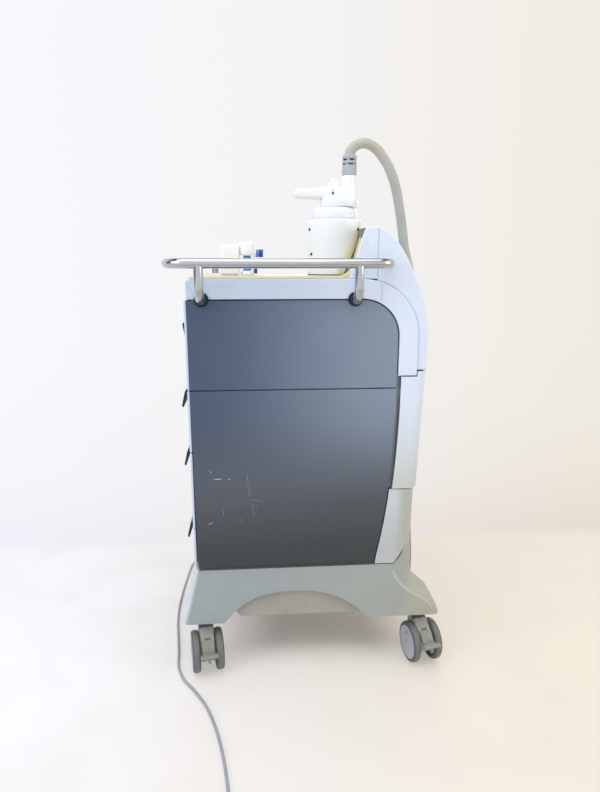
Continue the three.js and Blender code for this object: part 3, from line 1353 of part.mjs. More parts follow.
// The pedal: a round plate over the fork's back, with a tread bar and a heel rib at its foot
function brakePedal() {
  const [py, pz] = pedalPivot;
  const outer = PEDAL_RADIUS + 3;
  const shape = new THREE.Shape();
  shape.moveTo(...aboutAxle(PEDAL_RADIUS, 118));
  shape.lineTo(...aboutAxle(outer, 118));
  arcAboutAxle(shape, outer, 118, 152);
  shape.lineTo(-py - 36, pz - 8);
  shape.lineTo(-py - 36, pz - 14);
  shape.lineTo(...aboutAxle(PEDAL_RADIUS, 158));
  arcAboutAxle(shape, PEDAL_RADIUS, 158, 118);
  const plate = frontForm(shape, -14, 14, 0, 4);
  const knuckle = bar('x', 5.5, -6, 6, [0, -py, pz], 12);
  const tread = frontForm(roundedBox(-py - 47, -py - 34, pz - 15, pz - 8, 3), -20.5, 20.5, 0, 3);
  const rib = block(-3, 3, -py - 43, -py - 37, pz - 28, pz - 14);
  const hole = bar('x', 2.5 + SEAT, -10, 10, [0, -py, pz], 8);
  return joined([plate, knuckle, tread, rib]).subtract(hole);
}

function caster(name, x, side) {
  const stem = new THREE.Group();
  stem.position.set(x, side * STEM_Y, 0);
  const facing = side < 0 ? CASTER_TURN : 180 - CASTER_TURN;
  stem.rotation.z = THREE.MathUtils.degToRad(facing);
  group.add(stem);
  node(`${name}_fork`, casterFork(), slate, stem);
  node(`${name}_wheel_a`, casterWheel(-1), tyreGrey, stem);
  node(`${name}_wheel_b`, casterWheel(1), tyreGrey, stem);
  node(`${name}_pedal`, brakePedal(), greyPlastic, stem);
}

// Assembly
node('base_skirt', baseSkirt(), sage);
node('belly_pan', bellyPan(), sage);
node('chassis', chassis(), sheetMetal);
node('right_upper_panel', upperPanel(-1), slate);
node('right_lower_panel', lowerPanel(-1), slate);
node('left_upper_panel', upperPanel(1), slate);
node('left_lower_panel', lowerPanel(1), slate);
node('upper_shell', upperShell(), paleBlue);
node('display_housing', displayHousing(), paleBlue);
node('rear_hood', rearHood(), paleBlue);
node('worktop', worktop(), cream);
node('touch_screen', touchScreen(), darkGlass);
node('rear_wing_cover', wingCover(), paleBlue);
node('lower_rear_cover', lowerCover(), paleBlue);
node('mains_switch', rockerSwitch(), black);
drawerLevels().forEach(([foot, top], i, levels) => {
  const name = `drawer_${levels.length - i}`;
  node(`${name}_front`, drawerFront(foot, top), paleBlue);
  node(`${name}_tray`, drawerTray(foot, top), sheetMetal);
  node(`${name}_pull`, i + 1 < levels.length ? lipPull(top) : scoopPull(top), black);
});
node('handrail', handrail(), steel);
node('dock_cup', dockCup(), white);
node('head_can', headCan(), white);
node('head_handle', headHandle(), white);
node('head_button', headButton(), white);
node('hose_boot', hoseBoot(), greyPlastic);
node('hose', tube(smoothRoute(hosePoints, HOSE_DIAMETER), HOSE_DIAMETER / 2, HOSE_SIDES), hoseGrey);
node('hose_gland', hoseGland(), greyPlastic);
node('fan_frame', fanFrame(), black);
node('fan_impeller', fanImpeller(), black);
node('generator_module', generatorModule(), sheetMetal);
node('power_supply', powerSupply(), sheetMetal);
node('transducer_cartridge', transducerCartridge(), white);
caster('front_right_caster', FRONT_STEM_X, -1);
caster('front_left_caster', FRONT_STEM_X, 1);
caster('rear_right_caster', REAR_STEM_X, -1);
caster('rear_left_caster', REAR_STEM_X, 1);
node('strain_relief', strainRelief(), black);
node('mains_cord', tube(smoothRoute(cordPoints, 5 * CORD_DIAMETER), cordRadius, CORD_SIDES), greyPlastic);
node('cord_coil', tube(coilPoints, cordRadius, COIL_SIDES), greyPlastic);
const coilEnd = coilPoints[coilPoints.length - 1];
const coilOut = coilEnd.clone().sub(coilPoints[coilPoints.length - 2]).normalize();
node('mains_plug', mainsPlug(coilEnd.clone().addScaledVector(coilOut, SEAT), coilOut), black);

console.log('least gap of the coil to itself', leastSelfGap(coilPoints, CORD_DIAMETER, 8).toFixed(2));

export default group;
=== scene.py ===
# %% [markdown]
# # A mobile treatment ultrasound cart
# The cart is a tall plastic cabinet on four braked casters, with a steel handrail, a leaning
# touch screen, and a treatment head that rests in a cup on a thick hose. Its solids are ready, so
# this lesson dresses them: it rounds their edges, makes the round pieces again with fine turnings,
# lays the hose and the mains lead, and gives each surface its own finish.

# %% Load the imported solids
import json
import math

import bmesh
import bpy
from mathutils import Matrix, Vector


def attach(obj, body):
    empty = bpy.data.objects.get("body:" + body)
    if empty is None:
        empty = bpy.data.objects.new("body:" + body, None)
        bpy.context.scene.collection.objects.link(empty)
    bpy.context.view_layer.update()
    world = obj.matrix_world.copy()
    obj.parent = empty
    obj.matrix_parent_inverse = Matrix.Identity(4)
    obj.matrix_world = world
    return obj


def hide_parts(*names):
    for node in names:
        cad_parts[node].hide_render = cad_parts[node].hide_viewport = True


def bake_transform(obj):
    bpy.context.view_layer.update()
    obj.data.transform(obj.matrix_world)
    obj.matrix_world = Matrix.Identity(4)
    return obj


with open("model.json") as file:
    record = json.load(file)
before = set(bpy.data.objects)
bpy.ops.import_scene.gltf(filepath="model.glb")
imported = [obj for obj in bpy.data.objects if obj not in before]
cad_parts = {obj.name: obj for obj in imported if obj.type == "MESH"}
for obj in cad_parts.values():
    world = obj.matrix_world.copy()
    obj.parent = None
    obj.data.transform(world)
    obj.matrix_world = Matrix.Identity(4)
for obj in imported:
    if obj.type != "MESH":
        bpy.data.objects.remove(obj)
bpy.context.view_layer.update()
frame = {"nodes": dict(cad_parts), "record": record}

MM = 0.001

# %% [markdown]
# ## The camera
# The photograph was taken from a little above worktop height, square to the cart's side but
# pitched down, so the verticals converge. A real lens length and one tilted camera give that
# convergence by themselves. The lens, height and tilt came from the casters, rail and panel edges.

# %% Stand the camera where the photograph was taken
CAMERA_PITCH, CAMERA_TURN = 12.774, 4.265


def linked(name, data):
    thing = bpy.data.objects.new(name, data)
    bpy.context.scene.collection.objects.link(thing)
    return thing


eye = bpy.data.cameras.new("photo_camera")
eye.lens = 26.65
eye.sensor_width = 36
camera = linked("photo_camera", eye)
camera.location = (-0.1278, -1.4826, 0.9753)
camera.rotation_euler = (math.radians(90 - CAMERA_PITCH), 0, math.radians(-CAMERA_TURN))
bpy.context.scene.camera = camera
print("camera at", tuple(camera.location))

# %% [markdown]
# ## Smooth routes for the hose and the lead
# A cord is a fixed length of something flexible, so it starts as a route: a few listed points and a
# curve through them. Knots spaced by the square root of the distance keep the curve from
# overshooting where the points lie close together. The two ends stay straight, square to what they
# plug into.

# %% Draw a smooth route through chosen points
def between(points, i, share):
    """The point that lies a share of the way from points[i] to the next one."""
    before = points[i - 1] if i else 2 * points[0] - points[1]
    start, end = points[i], points[i + 1]
    after = points[i + 2] if i + 2 < len(points) else 2 * points[-1] - points[-2]
    a, b, c = (math.sqrt((q - p).length) for p, q in ((before, start), (start, end), (end, after)))
    leave = ((start - before) / a - (end - before) / (a + b) + (end - start) / b) * b
    reach = ((end - start) / b - (after - start) / (b + c) + (after - end) / c) * b
    s = share
    return (start * (2 * s**3 - 3 * s**2 + 1) + leave * (s**3 - 2 * s**2 + s)
            + end * (3 * s**2 - 2 * s**3) + reach * (s**3 - s**2))


def smooth_route(chosen, pieces):
    points = [Vector(p) * MM for p in chosen]
    inner = points[1:-1]
    route = [between(inner, i, k / pieces) for i in range(len(inner) - 1) for k in range(pieces)]
    return [points[0]] + route + [inner[-1], points[-1]]


def route_length(route):
    return sum((b - a).length for a, b in zip(route, route[1:]))


def tube_along(name, route, radius, sides):
    """A round tube on one open spline; sides is a quarter turn's steps."""
    line = bpy.data.curves.new(name, "CURVE")
    line.dimensions = "3D"
    spline = line.splines.new("POLY")
    spline.points.add(len(route) - 1)
    for knot, place in zip(spline.points, route):
        knot.co = (*place, 1)
    line.bevel_depth = radius
    line.bevel_resolution = sides - 2
    line.use_fill_caps = True
    return linked(name, line)


def mesh_of(line):
    """The mesh of a tube's surface; the tube's curve is removed."""
    bpy.context.view_layer.update()
    surface = line.evaluated_get(bpy.context.evaluated_depsgraph_get())
    mesh = bpy.data.meshes.new_from_object(surface)
    bpy.data.objects.remove(line)
    return mesh


def cord_tube(name, route, radius, sides):
    """The tube as a mesh, for a cord laid along its path."""
    mesh = mesh_of(tube_along(name + "_line", route, radius, sides))
    mesh.shade_smooth()
    return linked(name, mesh)


# %% [markdown]
# ## The treatment hose
# The thick hose leaves the head's grey boot, bends over and hangs down behind the hood, where it
# turns up again into its gland. Only the arch over the hood is in the photograph; the loop below
# is what gives the hose slack when the head is lifted.

# %% Lay the treatment hose
HOSE_POINTS = [
    (87, -95, 1211.5), (87, -95, 1216.2), (97, -94.5, 1229), (115, -93, 1237), (133, -90, 1235),
    (150, -87, 1225), (167, -84, 1207), (180, -82, 1188), (197, -77, 1150), (211, -70, 1098),
    (223, -62, 1041), (229, -58, 1009), (243, -54, 962), (255, -50, 912), (264, -48, 850),
    (269, -48, 780), (271, -48, 700), (271, -48, 620), (270, -47, 560), (268, -40, 505),
    (272, -18, 462), (272, 20, 441), (272, 62, 441), (272, 100, 462), (272, 122, 505),
    (272, 130, 560), (272, 130, 657.5), (272, 130, 679.7),
]
hose_route = smooth_route(HOSE_POINTS, 5)
treatment_hose = cord_tube("treatment_hose", hose_route, 11.25 * MM, 8)
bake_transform(treatment_hose)
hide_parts("hose")
print(f"hose is {route_length(hose_route):.3f} m long")

# %% [markdown]
# ## The mains lead
# The lead drops from its inlet at the rear, runs under the cart and out round the front casters,
# which is the part that the photograph shows. The rest is wound in a neat coil on the floor just
# outside the view, with its plug beside it and a soft tie round the turns.

# %% Lay the mains lead and its coil
ON_FLOOR = 3.8
LEAD_DROP = [
    (276.6, 65, 385), (283.3, 65, 385), (293, 65, 382), (300, 65, 370), (303, 65, 345),
    (304, 65, 300), (305, 65, 250), (308, 65, 200), (311, 65, 150), (311, 65, 90), (306, 65, 45),
    (290, 65, 17), (262, 66, 6),
]
LEAD_RUN = [
    (225, 68), (160, 80), (90, 112), (30, 160), (-20, 225), (-70, 295), (-135, 350), (-210, 380),
    (-280, 382), (-326, 360), (-348, 310), (-356, 230), (-361, 140), (-362, 60), (-357, -15),
    (-347, -85), (-338, -150), (-332, -200), (-315, -246), (-284, -290), (-254, -340),
    (-230, -400), (-211, -470), (-198, -540), (-189, -605), (-183, -647), (-183, -660.7),
]
COIL_X, COIL_Y, COIL_OUTER, COIL_PITCH = -140, -668, 43, 9.2
LAYER_TURNS, LAYER_HEIGHT, CLIMB_TURNS, STEPS_A_TURN = 1.375, 7.8, 0.5, 24


def coil_route():
    """Inwards on the floor, up over half a turn, and outwards again to the plug."""
    turns = 2 * LAYER_TURNS + CLIMB_TURNS
    steps = round(turns * STEPS_A_TURN)
    route = [Vector((COIL_X - COIL_OUTER, COIL_Y + 7, ON_FLOOR))]
    for i in range(steps + 1):
        wound = turns * i / steps
        above = wound - LAYER_TURNS
        climb = min(max(above / CLIMB_TURNS, 0), 1)
        radius = COIL_OUTER - COIL_PITCH * (min(wound, LAYER_TURNS) - max(above - CLIMB_TURNS, 0))
        angle = math.pi + wound * 2 * math.pi
        route.append(Vector((COIL_X + radius * math.cos(angle), COIL_Y + radius * math.sin(angle),
                             ON_FLOOR + LAYER_HEIGHT * (1 - math.cos(climb * math.pi)) / 2)))
    away = route[-1] - route[-2]
    away.z = 0
    away.normalize()
    end = route[-1].copy()
    for along, height in ((10, end.z + 1), (22, 14.7), (30, 15.3), (37, 15.3)):
        route.append(Vector((end.x + away.x * along, end.y + away.y * along, height)))
    return [p * MM for p in route]


coil = coil_route()
lead_route = smooth_route(LEAD_DROP + [(x, y, ON_FLOOR) for x, y in LEAD_RUN], 6) + coil
mains_lead = cord_tube("mains_lead", lead_route, 3.5 * MM, 5)
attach(mains_lead, "cabinet")
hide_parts("mains_cord", "cord_coil")
print(f"lead is {route_length(lead_route):.3f} m, {route_length(coil):.3f} m of it in the coil")

# %% [markdown]
# ## Finishes
# Moulded plastic is never one flat colour. It has a very fine texture from the mould, slow drifts
# in tone, faint scuffs, and paler wear where edges are handled. Each of those is a noise at its
# own scale, read from Object coordinates so that it stays on the piece when the piece moves.
# The Bevel node compares the true surface with a slightly rounded one, which finds the edges.

# %% Helpers for node materials
def new_finish(name, roughness=0.5, metallic=0.0):
    finish = bpy.data.materials.new(name)
    finish.use_nodes = True
    shader = finish.node_tree.nodes["Principled BSDF"]
    shader.inputs["Roughness"].default_value = roughness
    shader.inputs["Metallic"].default_value = metallic
    place = finish.node_tree.nodes.new("ShaderNodeTexCoord")
    return finish, shader, place.outputs["Object"]


def feed(socket, value):
    """Links an output to a socket, which knows its own tree, or sets a number or colour on it."""
    if isinstance(value, bpy.types.NodeSocket):
        socket.id_data.links.new(value, socket)
    else:
        socket.default_value = (*value, 1) if socket.type == "RGBA" else value


def new_node(kind, inputs, **settings):
    """A node in the same tree as the outputs that feed it."""
    tree = next(v.id_data for v in inputs.values() if isinstance(v, bpy.types.NodeSocket))
    node = tree.nodes.new(kind)
    for setting, value in settings.items():
        setattr(node, setting, value)
    for socket, value in inputs.items():
        feed(node.inputs[socket], value)
    return node


def noise(place, scale, detail, stretch=None):
    """Noise features about 1/scale metres across; stretch thins it along an axis."""
    if stretch:
        mapping = new_node("ShaderNodeMapping", {"Scale": stretch, "Vector": place})
        place = mapping.outputs["Vector"]
    texture = {"Scale": scale, "Detail": detail, "Vector": place}
    return new_node("ShaderNodeTexNoise", texture).outputs["Fac"]


def remap(value, low, high, to_low=0.0, to_high=1.0, ease="LINEAR"):
    ends = {"Value": value, "From Min": low, "From Max": high, "To Min": to_low, "To Max": to_high}
    return new_node("ShaderNodeMapRange", ends, interpolation_type=ease).outputs["Result"]


def drift_of(place, scale, detail, ends, to_low=0.0, to_high=1.0):
    """A noise with the part between two ends stretched over a new range."""
    return remap(noise(place, scale, detail), *ends, to_low, to_high)


def combine(kind, a, b=0):
    return new_node("ShaderNodeMath", {0: a, 1: b}, operation=kind).outputs[0]


def product(a, b):
    return combine("MULTIPLY", a, b)


def length_of(x, y):
    return combine("SQRT", combine("ADD", product(x, x), product(y, y)))


def blend_colour(share, first, second):
    colours = {"Factor": share, 6: first, 7: second}
    return new_node("ShaderNodeMix", colours, data_type="RGBA").outputs[2]


def scaled_colour(colour, factor):
    """A colour, or a colour output, made lighter or darker by a factor output."""
    scaled = {0: colour, "Scale": factor}
    return new_node("ShaderNodeVectorMath", scaled, operation="SCALE").outputs["Vector"]


def axes_of(place):
    return new_node("ShaderNodeSeparateXYZ", {0: place}).outputs


def shade_of(colour, factor):
    return tuple(min(1.0, c * factor) for c in colour)


def from_srgb(red, green, blue):
    """The colour picker's 0 to 255 numbers, as the linear ones that nodes use."""
    def linear(c):
        c /= 255
        return c / 12.92 if c <= 0.04045 else ((c + 0.055) / 1.055) ** 2.4
    return tuple(linear(c) for c in (red, green, blue))


def edge_wear(place, width):
    """1 on worn edges: where a rounded normal leaves the true one, broken up by noise."""
    nodes = place.id_data.nodes
    soft, true = nodes.new("ShaderNodeBevel"), nodes.new("ShaderNodeNewGeometry")
    soft.samples = 4
    soft.inputs["Radius"].default_value = width
    normals = {0: soft.outputs["Normal"], 1: true.outputs["Normal"]}
    agree = new_node("ShaderNodeVectorMath", normals, operation="DOT_PRODUCT")
    edge = remap(agree.outputs["Value"], 0.995, 0.93)
    return product(edge, drift_of(place, 45, 4, (0.42, 0.62)))


def dress(shader, colour, gloss, relief, strength, depth):
    """Gives a shader its colour and gloss, and a fine relief of a depth in millimetres."""
    fine = {"Strength": strength, "Distance": depth * MM, "Height": relief}
    bump = new_node("ShaderNodeBump", fine)
    feed(shader.inputs["Base Color"], colour)
    feed(shader.inputs["Roughness"], gloss)
    feed(shader.inputs["Normal"], bump.outputs["Normal"])


# %% [markdown]
# The near lower panel has been knocked: a few bright nicks and some long faint scratches. Each one
# is a thin box of its own in the panel's plane. A Mapping node turns the place so that the stroke
# reaches from -1 to 1 on two axes, and the larger of the two tells how far outside it a point lies.

# %% Scratches, stroke by stroke
# across, up, half length (mm), lean (degrees), brightness
STROKES = [
    (-236, 514, 4.8, -62, 0.45), (-221, 497, 10, -2, 0.8), (-195, 496, 2.4, -19, 0.8),
    (-154, 499, 13.6, -85, 0.2), (-150, 466, 20, -82, 0.16), (-132, 443, 15.6, -12, 0.2),
    (-142, 421, 20, -81, 0.16), (-134, 428, 6.8, 87, 0.1), (-210, 415, 8.9, 85, 0.2),
    (-240, 389, 7.2, 26, 0.5), (-171, 396, 4.5, -58, 0.16),
]
STROKE_HALF_WIDTH, WAVER = 1.1, 2
SCRATCH_PALE = (0.75, 0.77, 0.8)


def scratches(place, axes):
    """1 on the strokes of the near side alone, each shaken a little by noise."""
    waver = new_node("ShaderNodeTexNoise", {"Scale": 70, "Vector": place})
    shaken = {0: waver.outputs["Color"], 1: (WAVER * MM,) * 3, 2: place}
    shake = new_node("ShaderNodeVectorMath", shaken, operation="MULTIPLY_ADD")
    middle = WAVER / 2
    lines = 0
    for across, up, reach, lean, strength in STROKES:
        stroke = new_node("ShaderNodeMapping", {
            "Location": ((across + middle) * MM, 0, (up + middle) * MM),
            "Rotation": (0, math.radians(-lean), 0),
            "Scale": (reach * MM, 1, STROKE_HALF_WIDTH * MM),
            "Vector": shake.outputs["Vector"]}, vector_type="TEXTURE")
        local = axes_of(stroke.outputs["Vector"])
        outside = combine("MAXIMUM", combine("ABSOLUTE", local["X"]),
                          combine("ABSOLUTE", local["Z"]))
        lines = combine("MAXIMUM", lines, remap(outside, 1.0, 0.4, 0, strength))
    return product(remap(axes["Y"], -0.20, -0.21), lines)


# %% [markdown]
# One recipe makes all the moulded plastics: slate side panels, pale blue covers, the sage base,
# the cream worktop and the gloss white head. They differ in colour, gloss and depth of grain.
# A fade blends towards a second colour between two places along an axis. Every fade is painted
# light and shade, standing in for the light that the room gave the real cart.

# %% Moulded plastics
NEAR_FLOOR_TONE = from_srgb(120, 112, 98)


def place_along(axes, axis):
    """An axis by its letter, or the sum of a pair: that much of X and that much of Z."""
    if isinstance(axis, str):
        return axes[axis]
    across, up = axis
    return combine("ADD", product(axes["X"], across), product(axes["Z"], up))


def plastic(name, picked, roughness, grain, drift, wear, *fades, knocked=False, near_floor=0.0):
    """A fade paints light and shade: an axis, its two ends in metres and the colour that it ends
    in.
    """
    finish, shader, place = new_finish(name)
    axes = axes_of(place)
    base = colour = from_srgb(*picked)
    for axis, start, stop, other in fades:
        share = remap(place_along(axes, axis), start, stop, ease="SMOOTHSTEP")
        base = blend_colour(share, base, from_srgb(*other))
    tone = drift_of(place, 4, 3, (0.3, 0.7), 1 - drift, 1 + drift)
    speck = drift_of(place, 160, 2, (0.35, 0.65), 1, 1 - drift / 2)
    mottled = scaled_colour(base, product(tone, speck))
    edges = product(edge_wear(place, 1.6 * MM), wear)
    worn = blend_colour(edges, mottled, tuple(min(0.9, c * 1.25 + 0.05) for c in colour))
    gloss = drift_of(place, 14, 4, (0.3, 0.7), roughness - 0.05, roughness + 0.07)
    if knocked:
        worn = blend_colour(scratches(place, axes), worn, SCRATCH_PALE)
    # Lower parts are darker and warmer towards the floor, in patches.
    if near_floor:
        near_floor_share = product(remap(axes["Z"], 0.34, 0.12, 0, near_floor), drift_of(place, 22, 5, (0.4, 0.65)))
        worn = blend_colour(near_floor_share, worn, NEAR_FLOOR_TONE)
    dress(shader, worn, gloss, noise(place, 1400, 3), grain, 0.15)
    return finish


PALE_BLUE, PALE_RIGHT = (201, 218, 239), (223, 235, 254)
# The slate's fades are painted light: a painted reflection of the bright wall, lighter to the
# right, and painted shade, darker towards the bottom.
SLATE = ((68, 84, 110), 0.42, 0.25, 0.03, 0.4, ("X", -0.27, 0.19, (131, 146, 167)),
         ("Z", 0.7, 0.42, (84, 90, 100)), ("Z", 0.5, 0.28, (58, 63, 67)))
slate_panel = plastic("slate_panel_plastic", *SLATE)
scratched_slate = plastic("scratched_slate_plastic", *SLATE, knocked=True)
# Pale blue covers: painted light, lighter to the right towards PALE_RIGHT, the pale blue as it
# looks lit.
pale_cover = plastic("pale_blue_cover_plastic", PALE_BLUE, 0.4, 0.2, 0.015, 0.3,
                    ("X", -0.1, 0.1, PALE_RIGHT))
# The wing cover's colour is the pale blue as lit on the right, painted light; its fade is painted
# shade, greyer and warmer towards the bottom.
wing_cover = plastic("wing_cover_plastic", PALE_RIGHT, 0.4, 0.2, 0.015, 0.3,
                    ("Z", 0.72, 0.3, (192, 191, 175)))
# Sage base: its fades are a painted reflection of the warm wall, greige towards the rear, and a
# painted highlight on the front corner.
sage_base = plastic("sage_base_plastic", (159, 168, 171), 0.45, 0.25, 0.015, 0.6,
                   ("X", -0.2, 0.2, (168, 174, 171)), ("X", 0.2, 0.26, (178, 178, 163)),
                   ((1, -0.24), -0.332, -0.3445, (216, 222, 229)), near_floor=0.12)
# A paler sage for the ridge bead: painted highlight.
ridge_painted_highlight = plastic("base_ridge_painted_highlight_plastic", (184, 189, 183), 0.35, 0.15, 0.02, 0.2)
seam_grey = plastic("joint_shadow_plastic", (62, 65, 68), 0.6, 0.2, 0.05, 0.1)
pale_cream = plastic("worktop_lip_plastic", (222, 220, 202), 0.38, 0.15, 0.03, 0.2)
pan_greige = plastic("belly_pan_plastic", (172, 171, 162), 0.5, 0.25, 0.02, 0.5, near_floor=0.2)
# The cup's fade is a painted reflection of the cream surround, on the cup's back.
cup_white = plastic("dock_cup_plastic", (242, 246, 250), 0.2, 0.05, 0.01, 0.1,
                   ((1, -0.49), -0.424, -0.399, (214, 208, 176)))
# Dark olive for the screen's top strip: painted shade.
strip_painted_shade = plastic("screen_strip_painted_shade_plastic", (112, 112, 100), 0.45, 0.2, 0.05, 0.3)
# Rear cover: painted shade and reflection, greyer lower down and greige on its rear faces.
rear_cover = plastic("pale_rear_cover_painted_shade_plastic", (204, 212, 222), 0.45, 0.25, 0.02, 0.35,
                    ("Z", 0.46, 0.3, (190, 194, 198)),
                    ("X", 0.188, 0.212, (184, 188, 182)))
cream_top = plastic("cream_worktop_plastic", (224, 216, 186), 0.38, 0.15, 0.03, 0.2)
gloss_white = plastic("gloss_white_plastic", (240, 244, 249), 0.22, 0.05, 0.01, 0.1)
boot_grey = plastic("boot_grey_rubber", (172, 178, 183), 0.55, 0.3, 0.04, 0.3)
trim_black = plastic("black_trim_plastic", (38, 40, 43), 0.45, 0.3, 0.1, 0.4)
seal_black = plastic("black_seal_rubber", (24, 26, 32), 0.75, 0.2, 0.1, 0.15)
caster_slate = plastic("caster_slate_nylon", (74, 80, 98), 0.42, 0.3, 0.05, 0.5, near_floor=0.2)
fork_greige = plastic("fork_greige_nylon", (176, 176, 166), 0.45, 0.3, 0.05, 0.5, near_floor=0.3)
disc_grey = plastic("wheel_disc_grey", (182, 185, 196), 0.4, 0.2, 0.03, 0.4, near_floor=0.15)
pedal_grey = plastic("pedal_grey_nylon", (150, 151, 143), 0.48, 0.3, 0.05, 0.6, near_floor=0.3)
ring_blue = plastic("accessory_blue_plastic", (70, 130, 205), 0.3, 0.05, 0.03, 0.1)
deep_blue = plastic("accessory_deep_blue_plastic", (28, 66, 150), 0.3, 0.05, 0.03, 0.1)
print("moulded plastics:", len(bpy.data.materials))

# %% [markdown]
# The hose and lead are soft vinyl with a slight sheen. The tyres are grey polyurethane, lighter on
# the tread; their shoulders and the wheels' inner faces get darker copies, which are painted shade.
# Both get a coarser noise than the mouldings.

# %% Rubbers and vinyl
def soft_vinyl(name, picked, roughness, tint=None):
    """A soft finish; a tint colours its highest part, which is the hose's arch."""
    colour = from_srgb(*picked)
    finish, shader, place = new_finish(name, roughness)
    shader.inputs["Sheen Weight"].default_value = 0.15
    base = blend_colour(drift_of(place, 25, 4, (0.3, 0.7)),
                        shade_of(colour, 0.93), shade_of(colour, 1.05))
    if tint:
        high = remap(axes_of(place)["Z"], 1.12, 1.25, 0, 0.55)
        base = blend_colour(high, base, from_srgb(*tint))
    dirt = drift_of(place, 70, 5, (0.6, 0.75), 0, 0.25)
    base = blend_colour(dirt, base, shade_of(colour, 0.6))
    gloss = drift_of(place, 40, 3, (0.3, 0.7), roughness - 0.06, roughness + 0.08)
    dress(shader, base, gloss, noise(place, 700, 3), 0.2, 0.2)
    return finish


hose_vinyl = soft_vinyl("hose_warm_grey_vinyl", (176, 179, 174), 0.42, tint=(190, 187, 164))
lead_vinyl = soft_vinyl("lead_light_grey_vinyl", (160, 166, 174), 0.5)
tyre_rubber = soft_vinyl("tyre_grey_polyurethane", (116, 118, 115), 0.6)
# Painted shade: the tyre's shoulders and the wheel's inner face are darker copies.
shaded_shoulder_rubber = soft_vinyl("tyre_painted_shade_shoulder", (92, 94, 97), 0.6)
wheel_inside = soft_vinyl("wheel_shaded_inside", (52, 53, 55), 0.65)
for cord, vinyl in ((treatment_hose, hose_vinyl), (mains_lead, lead_vinyl)):
    cord.data.materials.clear()
    cord.data.materials.append(vinyl)
print("soft finishes: 5")

# %% [markdown]
# The rail is stainless tube with a drawn satin: very fine lines along it, a little brighter where
# hands have polished it. Sheet parts inside are plain galvanised steel, and the screen is dark
# glass, switched off, with a faint smear of fingerprints in its gloss.

# %% Metals and glass
def satin_metal(name, picked, roughness, lines=(1, 1, 1), spangle=0.0, brush=0.08):
    colour = from_srgb(*picked)
    finish, shader, place = new_finish(name, roughness, 1.0)
    streaks = noise(place, 500, 2, stretch=lines)
    tone = blend_colour(remap(streaks, 0.3, 0.7), shade_of(colour, 0.92), shade_of(colour, 1.04))
    if spangle:
        cells = new_node("ShaderNodeTexVoronoi", {"Scale": 90, "Vector": place})
        share = remap(cells.outputs["Distance"], 0, 0.8, 0, spangle)
        tone = blend_colour(share, tone, shade_of(colour, 0.8))
    gloss = drift_of(place, 20, 4, (0.3, 0.7), roughness - brush / 3, roughness + brush)
    dress(shader, tone, gloss, streaks, brush, 0.1)
    return finish


rail_steel = satin_metal("rail_satin_stainless", (196, 199, 204), 0.13, (0.15, 1, 1), brush=0.015)
sheet_steel = satin_metal("galvanised_sheet", (170, 174, 178), 0.45, spangle=0.3)
screw_steel = satin_metal("dark_screw_steel", (60, 62, 66), 0.4)
pin_brass = satin_metal("plug_pin_brass", (205, 178, 110), 0.3)


def dark_glass():
    finish, shader, place = new_finish("screen_dark_glass", 0.08)
    shader.inputs["Coat Weight"].default_value = 0.6
    shader.inputs["Coat Roughness"].default_value = 0.04
    smears = drift_of(place, 35, 5, (0.45, 0.7))
    glass = blend_colour(smears, from_srgb(22, 25, 30), from_srgb(30, 34, 40))
    feed(shader.inputs["Base Color"], glass)
    feed(shader.inputs["Roughness"], remap(smears, 0, 1, 0.06, 0.2))
    return finish


screen_glass = dark_glass()
print("finishes made:", len(bpy.data.materials))

# %% [markdown]
# ## Covers and panels with soft edges
# A moulded cover has small rounded edges that catch the light, and a solid straight from a CAD
# file has none. Rather than model each cover again, a copy of its mesh is welded, its flat faces
# are joined, and a Bevel modifier rounds every edge sharper than a limit. Harden Normals keeps
# the large faces flat in shading while the small round ones blend.

# %% Helpers that finish a piece
def body_of(node):
    bodies = frame["record"]["behaviour"]["bodies"]
    return next(body for body, nodes in bodies.items() if node in nodes)


def placed(name, shape, finishes, body, sharp=35.0, instead_of=None, keep_normals=False):
    """Turns a bmesh into a finished piece that rides on a body, perhaps instead of a CAD node."""
    bmesh.ops.remove_doubles(shape, verts=shape.verts, dist=0.001 * MM)
    if not keep_normals:
        bmesh.ops.recalc_face_normals(shape, faces=shape.faces)
    mesh = bpy.data.meshes.new(name)
    shape.to_mesh(mesh)
    shape.free()
    mesh.shade_smooth()
    mesh.set_sharp_from_angle(angle=math.radians(sharp))
    piece = linked(name, mesh)
    for finish in finishes if isinstance(finishes, list) else [finishes]:
        mesh.materials.append(finish)
    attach(piece, body)
    if instead_of:
        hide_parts(instead_of)
    return piece


def softened(node, finish, width, slot, paint=None):
    """A welded copy of a CAD node with its edges rounded by a width in millimetres."""
    shape = bmesh.new()
    shape.from_mesh(frame["nodes"][node].data)
    for layer in list(shape.loops.layers.float_vector.values()):
        shape.loops.layers.float_vector.remove(layer)
    bmesh.ops.remove_doubles(shape, verts=shape.verts, dist=0.005 * MM)
    bmesh.ops.dissolve_limit(shape, angle_limit=math.radians(0.05), verts=shape.verts,
                             edges=shape.edges, delimit=set())
    for face in shape.faces:
        face.material_index = paint(face.calc_center_median() / MM) if paint else 0
    piece = placed(node + "_cover", shape, finish, body_of(node), instead_of=node,
                   keep_normals=True)
    rounding = piece.modifiers.new("soft_edges", "BEVEL")
    rounding.width = width * MM
    rounding.segments = 3
    rounding.limit_method = "ANGLE"
    rounding.angle_limit = math.radians(30)
    rounding.harden_normals = True
    rounding.use_clamp_overlap = True
    return piece


